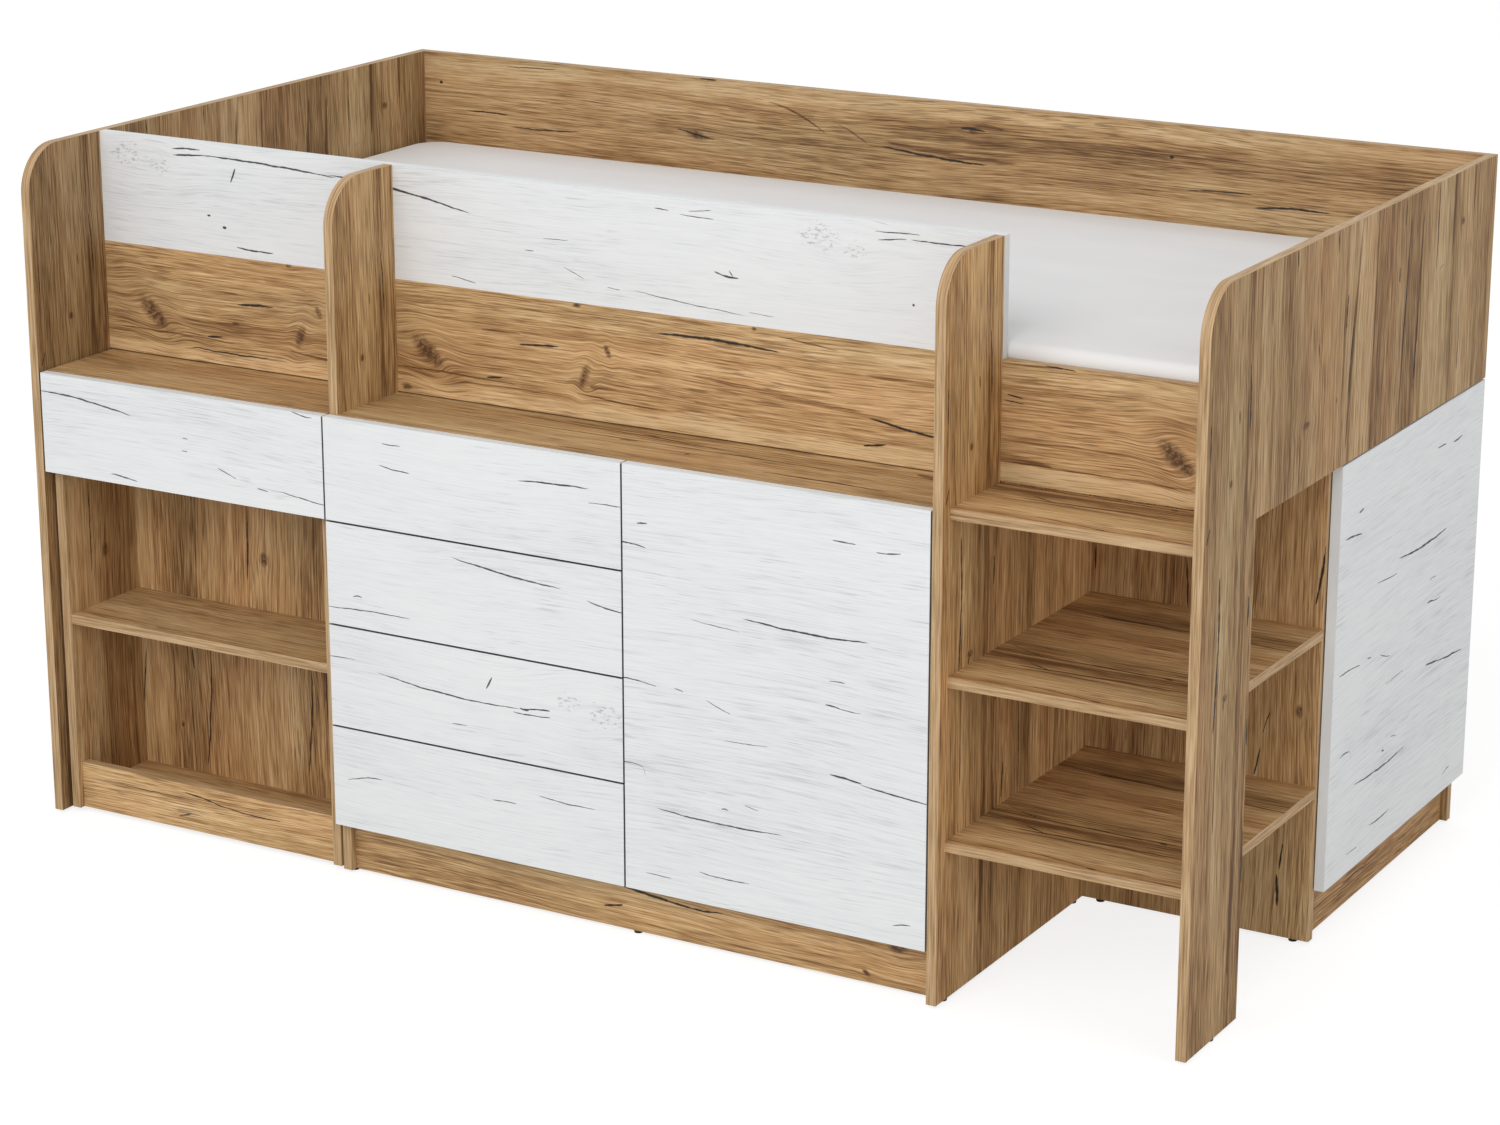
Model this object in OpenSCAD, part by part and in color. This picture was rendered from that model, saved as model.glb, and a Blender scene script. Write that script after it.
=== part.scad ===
// Cabin bed: a raised mattress bay on boards, over a roll-out desk, a chest of drawers
// with a cupboard, three wide steps and a low wardrobe that opens at the right end.
// Millimetres. The origin is the middle of the footprint, on the floor.
// +X runs to the right along the front, the front faces -Y, and +Z is up.

/* [Mattress] */
// Length of the mattress
mattress_l = 2000; // [1900:10:2100]
// Width of the mattress
mattress_w = 900; // [800:10:1000]
// Thickness of the mattress at its edge
mattress_h = 130; // [90:5:160]
// Radius of the mattress's upright corners
mattress_corner_r = 60; // [40:5:100]
// Radius of the mattress's top and bottom edges
mattress_edge_r = 16; // [8:1:25]
// How far the middle of the mattress rises above its edge
mattress_crown = 4; // [1:1:8]
// Room left at each end of the mattress
mattress_end_gap = 5; // [2:1:15]
// Room left at each long side of the mattress
mattress_side_gap = 2.5; // [1:0.5:10]

/* [Boards] */
// Thickness of every carcass and bed board
board_t = 16; // [14:1:19]
// Thickness of doors and drawer fronts
front_t = 16; // [14:1:19]
// Thickness of the hardboard backs and drawer bottoms
thin_t = 3; // [2.5:0.5:5]
// Radius of the rounded upper front corners
corner_r = 75; // [30:5:120]

/* [Bed] */
// Height of the ledges and the desk top above the floor
worktop_h = 755; // [700:5:820]
// Gap between the ledges and the rail above them
rail_gap = 2; // [2:0.5:5]
// Height of the front rail
rail_h = 180; // [150:5:220]
// Height of the guard board on top of the front rail
guard_h = 180; // [140:5:260]
// How far ledges, steps and dividers stand out in front of the rail
step_d = 180; // [140:5:240]
// Height of a ledger's bottom edge above the rail's bottom edge
ledger_rise = 23; // [5:1:40]
// Width and height of the square ledger under the slat ends
ledger_s = 30; // [20:1:35]
// Number of slats
slat_count = 14; // [10:1:18]
// Width of a slat
slat_w = 70; // [50:5:80]
// Thickness of a slat
slat_t = 18; // [14:1:22]
// Radius of a slat's long edges
slat_edge_r = 4; // [2:1:6]

/* [Bays] */
// Clear width of the bay that the desk rolls into
desk_bay_w = 560; // [500:5:620]
// Width of the drawer column, from the chest's left face to the middle of its partition
drawer_bay_w = 539; // [460:1:600]
// Clear width of the step niche
niche_w = 380; // [320:5:440]
// Depth of the chest and the niche, from the plane of the fronts
chest_d = 500; // [480:5:560]
// Number of steps, the ledge-high one included
step_count = 3; // [2:1:4]
// How far the steps' front edges lie behind the plane of the fronts
tread_setback = 22; // [10:1:40]

/* [Fronts] */
// Gap between neighbouring fronts
reveal = 3; // [2:0.5:5]
// Gap between the fronts and the carcass behind them
front_gap = 2; // [1:0.5:3]
// How far the fronts end below the ledges' top face
front_drop = 1; // [0:0.5:2]
// Height of the plinths
plinth_h = 82; // [60:1:100]
// How far the plinths lie behind the carcass's front edges
plinth_setback = 12; // [5:1:30]
// Length that the wardrobe door reaches over its front side board
wardrobe_overlay = 7; // [4:1:12]

/* [Drawer boxes] */
// Thickness of a drawer box's side, front and back
box_t = 12; // [10:1:15]
// Height of a chest drawer's box
box_h = 110; // [80:5:115]
// Length of a chest drawer's box
box_l = 440; // [400:5:455]
// Height of a chest drawer's box above its front's lower edge
box_rise = 28; // [22:1:34]
// Height of the desk drawer's box
desk_box_h = 90; // [70:5:95]
// Length of the desk drawer's box
desk_box_l = 400; // [300:10:450]
// Height of the desk drawer's box above its front's lower edge
desk_box_rise = 40; // [36:1:44]
// Gap between a drawer box and the board beside it, which the runners fill
runner_gap = 13; // [12:0.5:15]

/* [Runners] */
// Height of the runner's channel
runner_h = 34; // [28:1:38]
// Thickness of the runner's steel
runner_t = 1.2; // [1:0.1:1.6]
// Width of the channel's flanges
runner_flange = 9; // [8.5:0.25:10]
// Diameter of the runner's rollers
roller_d = 14; // [12:0.5:15]
// Running clearance above and beside a roller
roller_play = 0.3; // [0.2:0.05:0.5]

/* [Cupboard and wardrobe] */
// Height of the cupboard shelf's top face above the floor
cupboard_shelf_h = 430; // [300:5:560]
// Height of the wardrobe shelf's top face above the floor
wardrobe_shelf_h = 430; // [300:5:560]
// How far an inner shelf's front edge lies behind the carcass's front edges
inner_shelf_setback = 20; // [10:5:60]
// Diameter of a hinge cup
cup_d = 35; // [30:1:36]
// Depth of a hinge cup
cup_depth = 11; // [10:0.5:12]
// Distance from a door's hinge edge to the middle of the hinge cup
cup_edge = 22.5; // [21:0.5:24]
// Distance from a door's top and bottom edge to its hinges
hinge_inset = 95; // [70:5:140]

/* [Desk] */
// Length of the desk top, from its front edge to the end under the bed
desk_top_l = 900; // [700:10:1000]
// Height of the desk's boards above the height of the other boards' feet
desk_lift = 3; // [2:1:6]
// Gap between the desk's left side and the end panel
desk_gap_left = 7.5; // [5:0.5:15]
// Gap between the desk's right side and the chest
desk_gap_right = 4.5; // [4:0.5:10]
// Depth of the desk's shelves
bookcase_d = 178; // [150:1:220]
// Depth of the desk's two side boards
desk_side_d = 262; // [250:2:300]
// Height of the desk shelf's top face above the floor
desk_shelf_h = 345; // [250:5:450]
// Height of the desk's plinth board
desk_plinth_h = 78; // [50:1:100]
// How far the desk's plinth lies behind its side boards' front edges
desk_plinth_setback = 10; // [5:1:20]
// Height of the desk floor's underside above the desk's lower edge
desk_floor_rise = 13; // [5:1:30]
// Height of the rails under the desk top
apron_h = 120; // [100:5:135]
// Depth of the desk's rear leg
leg_d = 96; // [80:2:140]
// How far the desk top stands out behind the rear leg
top_overhang = 18; // [5:1:40]

/* [Castors and feet] */
// Diameter of a castor wheel
wheel_d = 45; // [40:1:50]
// Width of a castor wheel
wheel_w = 18; // [14:1:22]
// Diameter of a castor's axle
axle_d = 6; // [5:0.5:8]
// Radial running clearance of a wheel on its axle
axle_play = 0.05; // [0.03:0.01:0.1]
// Gap between a wheel and the cheek beside it
wheel_side_gap = 0.8; // [0.5:0.1:0.9]
// Thickness of the castor's steel
castor_t = 2; // [1.5:0.5:3]
// Diameter of a foot
foot_d = 15; // [12:1:16]
// Height of a foot
foot_h = 5; // [4:0.5:8]

/* [Hidden] */
$fn = 64;
// Number of drawers in the chest
drawer_count = 4;
// Gap left between the glued boards of a drawer box, which are separate solids
glue_gap = 0.1;
// Gap between an inner shelf and the boards beside it
shelf_gap = 0.5;
// Shelf pins: diameter, depth in the board, length under the shelf, and distance from the shelf's edges
pin_d = 5;
pin_sunk = 8;
pin_out = 9;
pin_inset = 50;
// How much further a cutting shape reaches past the face that it opens
cut_over = 1;
// Gap between a runner's roller and the upright web of its channel
roller_web_gap = 1.3;
// Gap between a slat's ends and the rail and back board
slat_end_gap = 2.5;
// Radial gap of a hinge cup in its pocket, and the gap between a hinge's cup and its arm
pocket_play = 0.1;
hinge_play = 0.3;
// Wall of a hinge cup, thickness of its flange, and the size of the block inside it
cup_wall = 2;
flange_t = 1;
flange_w = 22;
flange_l = 56;
knuckle_w = 12;
knuckle_h = 14;
// Heads of the screws on a hinge's flange, arm and mounting plate
screw_d = 7;
screw_h = 0.8;
// Mounting plate of a hinge: thickness, length into the cabinet and height
plate_t = 3;
plate_l = 46;
plate_h = 48;
// Gap between the desk's back board and the drawer box that passes over it
back_gap = 5;
// How far the desk shelf lies behind the side boards' front edges
desk_shelf_setback = 2;
// Head of a castor's axle
axle_head = 1.5;
// Rim thickness and edge chamfer of a castor wheel, and the width of its disc
rim_t = 5;
rim_chamfer = 1.5;
disc_w = 8;
hub_wall = 4;
// How much narrower a foot is at the floor than under its board
foot_taper = 2;
// Distance from a board's end to the foot under it
foot_inset = 20;
end_foot_inset = 60;
post_foot_inset = 80;
wardrobe_foot_inset = 28;

// Colours
oak = [0.72, 0.56, 0.36];
white_oak = [0.90, 0.91, 0.91];
box_board = [0.86, 0.85, 0.82];
hardboard = [0.80, 0.78, 0.74];
pine = [0.85, 0.72, 0.50];
ticking = [0.95, 0.95, 0.96];
steel = [0.70, 0.71, 0.73];
black_plastic = [0.06, 0.06, 0.07];
grey_rubber = [0.30, 0.30, 0.32];

// Places along X, from the left end panel's outer face
inner_l = mattress_l + 2 * mattress_end_gap;
inner_x0 = board_t;
inner_x1 = inner_x0 + inner_l;
bed_l = inner_x1 + board_t;
chest_x0 = inner_x0 + desk_bay_w;
ladder_x1 = inner_x1 - niche_w;
ladder_x0 = ladder_x1 - board_t;
part_x = chest_x0 + drawer_bay_w;
drawer_bay = [chest_x0 + board_t, part_x - board_t / 2];
cupboard_bay = [part_x + board_t / 2, ladder_x0];
desk_x = [inner_x0 + desk_gap_left, chest_x0 - desk_gap_right];
desk_bay = [desk_x[0] + board_t, desk_x[1] - board_t];
desk_front_x = [inner_x0 + reveal, chest_x0 - reveal];
wardrobe_x1 = bed_l - front_t - front_gap;

// Places along Y, from the plane of the fronts
inner_w = mattress_w + 2 * mattress_side_gap;
carcass_y = front_t + front_gap;
rail_y = [step_d, step_d + board_t];
back_y = [rail_y[1] + inner_w, rail_y[1] + inner_w + board_t];
bed_w = back_y[1];
chest_back_y = [chest_d - thin_t, chest_d];
wardrobe_y = [chest_d, bed_w];
wardrobe_bay_y = [wardrobe_y[0] + board_t, wardrobe_y[1] - board_t];
book_y = carcass_y + bookcase_d;
desk_side_y = [carcass_y, carcass_y + desk_side_d];
leg_y = [carcass_y + desk_top_l - top_overhang - leg_d, carcass_y + desk_top_l - top_overhang];

// Places along Z, from the floor
rail_z = [worktop_h + rail_gap, worktop_h + rail_gap + rail_h];
top_z = rail_z[1] + guard_h;
ledger_z = rail_z[0] + ledger_rise;
slat_z = ledger_z + ledger_s;
mattress_z = slat_z + slat_t;
ledge_z = [worktop_h - board_t, worktop_h];
front_z = [foot_h + plinth_h, worktop_h - front_drop];
front_pitch = (front_z[1] - front_z[0] + reveal) / drawer_count;
drawer_front_h = front_pitch - reveal;
desk_z = foot_h + desk_lift;
desk_front_z = [front_z[1] - drawer_front_h, front_z[1]];
desk_box_z = desk_front_z[0] + desk_box_rise;
step_rise = (worktop_h - foot_h) / step_count;

// Castors
wheel_r = wheel_d / 2;
castor_w = 2 * castor_t + 2 * wheel_side_gap + wheel_w;
castor_top = wheel_r + 2 * castor_t;
castor_half = wheel_r * 2 / 3;
front_castor_y = (book_y + board_t + desk_side_y[1]) / 2;
rear_castor_y = (leg_y[0] + leg_y[1] - board_t) / 2;

// Runners: the channel on the cabinet board and the hooked strip on the box
channel_half = runner_h / 2 - runner_t;
strip_z = channel_half - 2 * runner_t - roller_play;
roller_x = [runner_t + roller_web_gap, runner_flange - roller_play];

DRAWERS = [1 : drawer_count];

// ---- Shared shapes ----

// Moves a shape from the corner that the places above start at to the middle of the footprint
module placed() translate([-bed_l / 2, -bed_w / 2, 0]) children();

// A board given by its [low, high] limits along each axis
module board(x, y, z) translate([x[0], y[0], z[0]]) cube([x[1] - x[0], y[1] - y[0], z[1] - z[0]]);

// Extrudes an outline drawn in depth and height along X, from x over the length t
module along_x(x, t) translate([x, 0, 0]) rotate([90, 0, 90]) linear_extrude(t) children();

// Outline of an upright board whose upper front corner is rounded
module rounded_upright(depth, low, high) {
    r = min(corner_r, depth - board_t);
    translate([0, low]) square([depth, high - low - r]);
    translate([r, low]) square([depth - r, high - low]);
    translate([r, high - r]) circle(r);
}

// Mirrored copies on the left and right board of a bay, with x measured into the bay
module on_both_sides(bay) {
    translate([bay[0], 0, 0]) children();
    translate([bay[1], 0, 0]) mirror([1, 0, 0]) children();
}

// ---- Bed ----

module left_end_panel() color(oak) placed()
    along_x(0, board_t) rounded_upright(bed_w, foot_h, top_z);

// The right end stands on a post in front and ends above the wardrobe behind
module right_end_panel() color(oak) placed() along_x(inner_x1, board_t) {
    rounded_upright(bed_w, rail_z[0], top_z);
    translate([0, foot_h]) square([step_d, top_z - corner_r - foot_h]);
}

module front_divider() color(oak) placed() along_x(chest_x0, board_t)
    translate([carcass_y, 0]) rounded_upright(step_d - carcass_y, worktop_h, top_z);

// The board between chest and niche: narrow above the ledge, as deep as the chest below it
module ladder_divider() color(oak) placed() difference() {
    along_x(ladder_x0, board_t) {
        rounded_upright(step_d, foot_h, top_z);
        translate([0, foot_h]) square([chest_d, worktop_h - foot_h]);
    }
    cupboard_pins() pin_hole();
}

module front_rail() color(oak) placed() board([inner_x0, inner_x1], rail_y, rail_z);

module guard_board() color(white_oak) placed() board([inner_x0, ladder_x1], rail_y, [rail_z[1], top_z]);

module back_board() color(oak) placed() board([inner_x0, inner_x1], back_y, [rail_z[0], top_z]);

module slat_ledgers() color(pine) placed() for (y = [rail_y[1], back_y[0] - ledger_s])
    board([inner_x0, inner_x1], [y, y + ledger_s], [ledger_z, slat_z]);

module bed_slats() color(pine) placed() for (i = [0 : slat_count - 1])
    translate([inner_x0 + inner_l * (i + 0.5) / slat_count, back_y[0] - slat_end_gap, slat_z])
        rotate([90, 0, 0]) linear_extrude(inner_w - 2 * slat_end_gap) slat_outline();

// Section of a slat, drawn across its width with all four corners rounded
module slat_outline() {
    across = slat_w / 2 - slat_edge_r;
    translate([-across, 0]) square([2 * across, slat_t]);
    translate([-slat_w / 2, slat_edge_r]) square([slat_w, slat_t - 2 * slat_edge_r]);
    for (x = [-across, across], z = [slat_edge_r, slat_t - slat_edge_r])
        translate([x, z]) circle(slat_edge_r, $fn = 24);
}

// Quarter-round edges all round, upright corners, and a low crown on top
module mattress() color(ticking) placed()
    translate([inner_x0 + inner_l / 2, rail_y[1] + inner_w / 2, mattress_z]) hull() {
        for (sx = [-1, 1], sy = [-1, 1])
            translate([sx * (mattress_l / 2 - mattress_corner_r), sy * (mattress_w / 2 - mattress_corner_r), 0])
                rotate_extrude($fn = 32) mattress_corner();
        translate([-mattress_l / 4, -mattress_w / 4, 0])
            cube([mattress_l / 2, mattress_w / 2, mattress_h + mattress_crown]);
    }

module mattress_corner() {
    inner = mattress_corner_r - mattress_edge_r;
    square([inner, mattress_h]);
    translate([0, mattress_edge_r]) square([mattress_corner_r, mattress_h - 2 * mattress_edge_r]);
    for (z = [mattress_edge_r, mattress_h - mattress_edge_r])
        translate([inner, z]) circle(mattress_edge_r, $fn = 24);
}

// ---- Steps ----

// The lower steps reach back to the wardrobe, and the top one, at ledge height, to the rail
module steps() color(oak) placed() for (n = [1 : step_count])
    board([ladder_x1, inner_x1], [tread_setback, n == step_count ? step_d : chest_d],
          [foot_h + n * step_rise - board_t, foot_h + n * step_rise]);

// ---- Chest of drawers with cupboard ----

module chest_top() color(oak) placed()
    board([chest_x0, ladder_x0], [carcass_y, chest_d], ledge_z);

module chest_left_side() color(oak) placed()
    board([chest_x0, drawer_bay[0]], [carcass_y, chest_d], [foot_h, ledge_z[0]]);

module chest_partition() color(oak) placed() difference() {
    board([drawer_bay[1], cupboard_bay[0]], [carcass_y, chest_back_y[0]], [front_z[0] + board_t, ledge_z[0]]);
    cupboard_pins() pin_hole();
}

module chest_bottom() color(oak) placed()
    board([drawer_bay[0], ladder_x0], [carcass_y, chest_back_y[0]], [front_z[0], front_z[0] + board_t]);

module chest_plinth() color(oak) placed()
    board([drawer_bay[0], ladder_x0],
          [carcass_y + plinth_setback, carcass_y + plinth_setback + board_t], [foot_h, front_z[0]]);

module chest_back() color(hardboard) placed()
    board([drawer_bay[0], ladder_x0], chest_back_y, [front_z[0], ledge_z[0]]);

module cupboard_shelf() color(oak) placed()
    board([cupboard_bay[0] + shelf_gap, cupboard_bay[1] - shelf_gap],
          [carcass_y + inner_shelf_setback, chest_back_y[0] - shelf_gap],
          [cupboard_shelf_h - board_t, cupboard_shelf_h]);

// ---- Shelf pins ----

// A pin and its blind hole, drawn along X from the board's face into the bay
module shelf_pin() rotate([0, 90, 0]) translate([0, 0, -pin_sunk]) cylinder(h = pin_sunk + pin_out, d = pin_d);

module pin_hole() rotate([0, 90, 0]) translate([0, 0, -pin_sunk - pocket_play])
    cylinder(h = pin_sunk + pocket_play + cut_over, d = pin_d + 2 * pocket_play);

module cupboard_pins() on_both_sides(cupboard_bay)
    for (y = [carcass_y + inner_shelf_setback + pin_inset, chest_back_y[0] - pin_inset])
        translate([0, y, cupboard_shelf_h - board_t - pin_d / 2]) children();

// The same with the bay along Y
module wardrobe_pins() for (x = [ladder_x0 + thin_t + pin_inset, wardrobe_x1 - inner_shelf_setback - pin_inset])
    translate([x, 0, wardrobe_shelf_h - board_t - pin_d / 2]) rotate([0, 0, 90])
        on_both_sides(wardrobe_bay_y) children();

module shelf_pins() color(steel) placed() {
    cupboard_pins() shelf_pin();
    wardrobe_pins() shelf_pin();
}

// ---- Drawers ----

// Box of five separate boards, open at the top
module drawer_box(x, y, z) {
    board(x, y, [z[0], z[0] + thin_t]);
    wall_z = [z[0] + thin_t + glue_gap, z[1]];
    cross_x = [x[0] + box_t + glue_gap, x[1] - box_t - glue_gap];
    board([x[0], x[0] + box_t], y, wall_z);
    board([x[1] - box_t, x[1]], y, wall_z);
    board(cross_x, [y[0], y[0] + box_t], wall_z);
    board(cross_x, [y[1] - box_t, y[1]], wall_z);
}

// Channel on the cabinet board, open towards the drawer, with a roller at its front end
// and an upright stop across its back end
module cabinet_runner(y, z) translate([0, 0, z]) {
    board([0, runner_flange], [y[1], y[1] + runner_t], [-runner_h / 2, runner_h / 2]);
    translate([0, y[1], 0]) rotate([90, 0, 0]) linear_extrude(y[1] - y[0]) {
        translate([0, -runner_h / 2]) square([runner_t, runner_h]);
        for (w = [-runner_h / 2, runner_h / 2 - runner_t]) translate([0, w]) square([runner_flange, runner_t]);
    }
    runner_roller(roller_x, y[0] + roller_d, strip_z - roller_play - roller_d / 2, [0, roller_x[0]]);
}

// Strip on the drawer box, hooked into the channel, with a roller at its back end
module drawer_slide(y, z) translate([0, 0, z]) {
    translate([0, y[1], 0]) rotate([90, 0, 0]) linear_extrude(y[1] - y[0]) {
        translate([runner_gap - runner_t, -channel_half]) square([runner_t, strip_z + runner_t + channel_half]);
        translate([roller_x[0], strip_z]) square([runner_gap - roller_x[0], runner_t]);
    }
    runner_roller(roller_x, y[1] - roller_d, -channel_half + roller_play + roller_d / 2,
                  [roller_x[1], runner_gap]);
}

// A roller between the limits x, with its stub axle between the limits stub
module runner_roller(x, y, z, stub) translate([0, y, z]) rotate([0, 90, 0]) {
    translate([0, 0, x[0]]) cylinder(h = x[1] - x[0], d = roller_d);
    translate([0, 0, stub[0]]) cylinder(h = stub[1] - stub[0], d = roller_d / 2);
}

function drawer_low(n) = front_z[0] + (n - 1) * front_pitch;
function drawer_runner_z(n) = drawer_low(n) + box_rise + box_h / 2;

module drawer_front(n) color(white_oak) placed()
    board([chest_x0, part_x - reveal / 2], [0, front_t], [drawer_low(n), drawer_low(n) + drawer_front_h]);

module chest_drawer_box(n) color(box_board) placed()
    drawer_box([drawer_bay[0] + runner_gap, drawer_bay[1] - runner_gap], [front_t, front_t + box_l],
               [drawer_low(n) + box_rise, drawer_low(n) + box_rise + box_h]);

module drawer_slides(n) color(steel) placed() on_both_sides(drawer_bay)
    drawer_slide([front_t, front_t + box_l], drawer_runner_z(n));

module chest_runners() color(steel) placed() on_both_sides(drawer_bay)
    for (n = DRAWERS) cabinet_runner([carcass_y, carcass_y + box_l], drawer_runner_z(n));

// ---- Doors and hinges ----

module cupboard_door() color(white_oak) placed() difference() {
    board([part_x + reveal / 2, ladder_x0 - reveal], [0, front_t], front_z);
    cupboard_hinges() hinge_pocket(cupboard_cup_x());
}

module wardrobe_door() color(white_oak) placed() difference() {
    board([bed_l - front_t, bed_l], [wardrobe_bay_y[0] - wardrobe_overlay, bed_w], front_z);
    wardrobe_hinges() hinge_pocket(wardrobe_cup_x());
}

// Places a hinge drawn at the carcass's front edge on the hinge board's inner face,
// with x into the bay, y into the cabinet and z up
module cupboard_hinges() for (z = hinge_heights())
    translate([ladder_x0, carcass_y, z]) mirror([1, 0, 0]) children();

module wardrobe_hinges() for (z = hinge_heights())
    translate([wardrobe_x1, wardrobe_bay_y[1], z]) mirror([1, 1, 0]) children();

function hinge_heights() = [front_z[0] + hinge_inset, front_z[1] - hinge_inset];
function cupboard_cup_x() = reveal + cup_edge;
function wardrobe_cup_x() = cup_edge - board_t;

module cupboard_hinge_cups() color(steel) placed() cupboard_hinges() hinge_cup(cupboard_cup_x());

module wardrobe_hinge_cups() color(steel) placed() wardrobe_hinges() hinge_cup(wardrobe_cup_x());

module hinge_arms() color(steel) placed() {
    cupboard_hinges() hinge_arm(cupboard_cup_x());
    wardrobe_hinges() hinge_arm(wardrobe_cup_x());
}

// Blind hole in the door for a hinge cup
module hinge_pocket(x) translate([x, cut_over - front_gap, 0]) rotate([90, 0, 0])
    cylinder(h = cup_depth + pocket_play + cut_over, d = cup_d);

// Cup with its flange on the door's inner face, and the block that the arm meets
module hinge_cup(x) translate([x, -front_gap, 0]) rotate([-90, 0, 0]) {
    difference() {
        union() {
            translate([0, 0, -cup_depth]) cylinder(h = cup_depth + flange_t, d = cup_d - 2 * pocket_play);
            translate([-flange_w / 2, -flange_l / 2, 0]) cube([flange_w, flange_l, flange_t]);
            for (side = [-1, 1]) translate([0, side * (flange_l / 2 - screw_d), 0])
                cylinder(h = flange_t + screw_h, d = screw_d);
        }
        translate([0, 0, cup_wall - cup_depth]) cylinder(h = cup_depth, d = cup_d - 2 * cup_wall);
    }
    translate([-knuckle_w / 2, -knuckle_h / 2, -cup_depth]) cube([knuckle_w, knuckle_h, cup_depth + flange_t]);
}

// Cranked arm from the cup back to its mounting plate on the hinge board
module hinge_arm(x) {
    tip_y = -front_gap + flange_t + hinge_play;
    arm_x = plate_t + knuckle_w;
    translate([0, 0, -knuckle_h / 2]) linear_extrude(knuckle_h)
        polygon([[x - knuckle_w / 2, tip_y], [x + knuckle_w / 2, tip_y], [x + knuckle_w / 2, plate_l / 4],
                 [arm_x, plate_l * 2 / 3], [arm_x, plate_l * 4 / 3], [0, plate_l * 4 / 3],
                 [0, plate_l / 3], [x - knuckle_w / 2, plate_l / 8]]);
    board([0, plate_t], [plate_l / 2, plate_l * 3 / 2], [-plate_h / 2, plate_h / 2]);
    for (y = [plate_l * 5 / 6, plate_l * 7 / 6]) screw_head(y, 0, arm_x);
    for (z = [screw_d - plate_h / 2, plate_h / 2 - screw_d]) screw_head(plate_l, z, plate_t);
}

// Screw that stands out of a face at the distance x from the hinge board
module screw_head(y, z, x) translate([0, y, z]) rotate([0, 90, 0]) cylinder(h = x + screw_h, d = screw_d);

// ---- Wardrobe ----

module wardrobe_front_side() color(oak) placed() difference() {
    board([ladder_x0, wardrobe_x1], [wardrobe_y[0], wardrobe_bay_y[0]], [foot_h, rail_z[0]]);
    wardrobe_pins() pin_hole();
}

module wardrobe_rear_side() color(oak) placed() difference() {
    board([ladder_x0, wardrobe_x1], [wardrobe_bay_y[1], wardrobe_y[1]], [foot_h, rail_z[0]]);
    wardrobe_pins() pin_hole();
}

module wardrobe_top() color(oak) placed()
    board([ladder_x0 + thin_t, wardrobe_x1], wardrobe_bay_y, [rail_z[0] - board_t, rail_z[0]]);

module wardrobe_bottom() color(oak) placed()
    board([ladder_x0 + thin_t, wardrobe_x1], wardrobe_bay_y, [front_z[0], front_z[0] + board_t]);

module wardrobe_back() color(hardboard) placed()
    board([ladder_x0, ladder_x0 + thin_t], wardrobe_bay_y, [front_z[0], rail_z[0]]);

module wardrobe_plinth() color(oak) placed()
    board([wardrobe_x1 - plinth_setback - board_t, wardrobe_x1 - plinth_setback], wardrobe_bay_y,
          [foot_h, front_z[0]]);

module wardrobe_shelf() color(oak) placed()
    board([ladder_x0 + thin_t + shelf_gap, wardrobe_x1 - inner_shelf_setback],
          [wardrobe_bay_y[0] + shelf_gap, wardrobe_bay_y[1] - shelf_gap],
          [wardrobe_shelf_h - board_t, wardrobe_shelf_h]);

// ---- Roll-out desk ----

module desk_top() color(oak) placed()
    board(desk_front_x, [carcass_y, carcass_y + desk_top_l], ledge_z);

module desk_left_side() color(oak) placed()
    board([desk_x[0], desk_bay[0]], desk_side_y, [desk_z, ledge_z[0]]);

module desk_right_side() color(oak) placed()
    board([desk_bay[1], desk_x[1]], desk_side_y, [desk_z, ledge_z[0]]);

module desk_shelf() color(oak) placed()
    board(desk_bay, [carcass_y + desk_shelf_setback, book_y], [desk_shelf_h - board_t, desk_shelf_h]);

module desk_floor() color(oak) placed()
    board(desk_bay, [carcass_y + desk_plinth_setback + board_t, book_y],
          [desk_z + desk_floor_rise, desk_z + desk_floor_rise + board_t]);

module desk_back() color(oak) placed()
    board(desk_bay, [book_y, book_y + board_t], [desk_z + desk_floor_rise, desk_box_z - back_gap]);

module desk_plinth() color(oak) placed()
    board(desk_bay, [carcass_y + desk_plinth_setback, carcass_y + desk_plinth_setback + board_t],
          [desk_z, desk_z + desk_plinth_h]);

// Rails under the desk top and the three-sided rear leg, glued up as one frame
module desk_leg_frame() color(oak) placed() {
    on_both_sides([desk_x[0], desk_x[1]]) {
        board([0, board_t], [desk_side_y[1], leg_y[1]], [ledge_z[0] - apron_h, ledge_z[0]]);
        board([0, board_t], leg_y, [desk_z, ledge_z[0]]);
    }
    board(desk_x, [leg_y[1] - board_t, leg_y[1]], [desk_z, ledge_z[0]]);
}

module desk_runners() color(steel) placed() on_both_sides(desk_bay)
    cabinet_runner([carcass_y, carcass_y + desk_box_l], desk_box_z + desk_box_h / 2);

module desk_drawer_front() color(white_oak) placed() board(desk_front_x, [0, front_t], desk_front_z);

module desk_drawer_box() color(box_board) placed()
    drawer_box([desk_bay[0] + runner_gap, desk_bay[1] - runner_gap], [front_t, front_t + desk_box_l],
               [desk_box_z, desk_box_z + desk_box_h]);

module desk_drawer_slides() color(steel) placed() on_both_sides(desk_bay)
    drawer_slide([front_t, front_t + desk_box_l], desk_box_z + desk_box_h / 2);

// ---- Castors and feet ----

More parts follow.
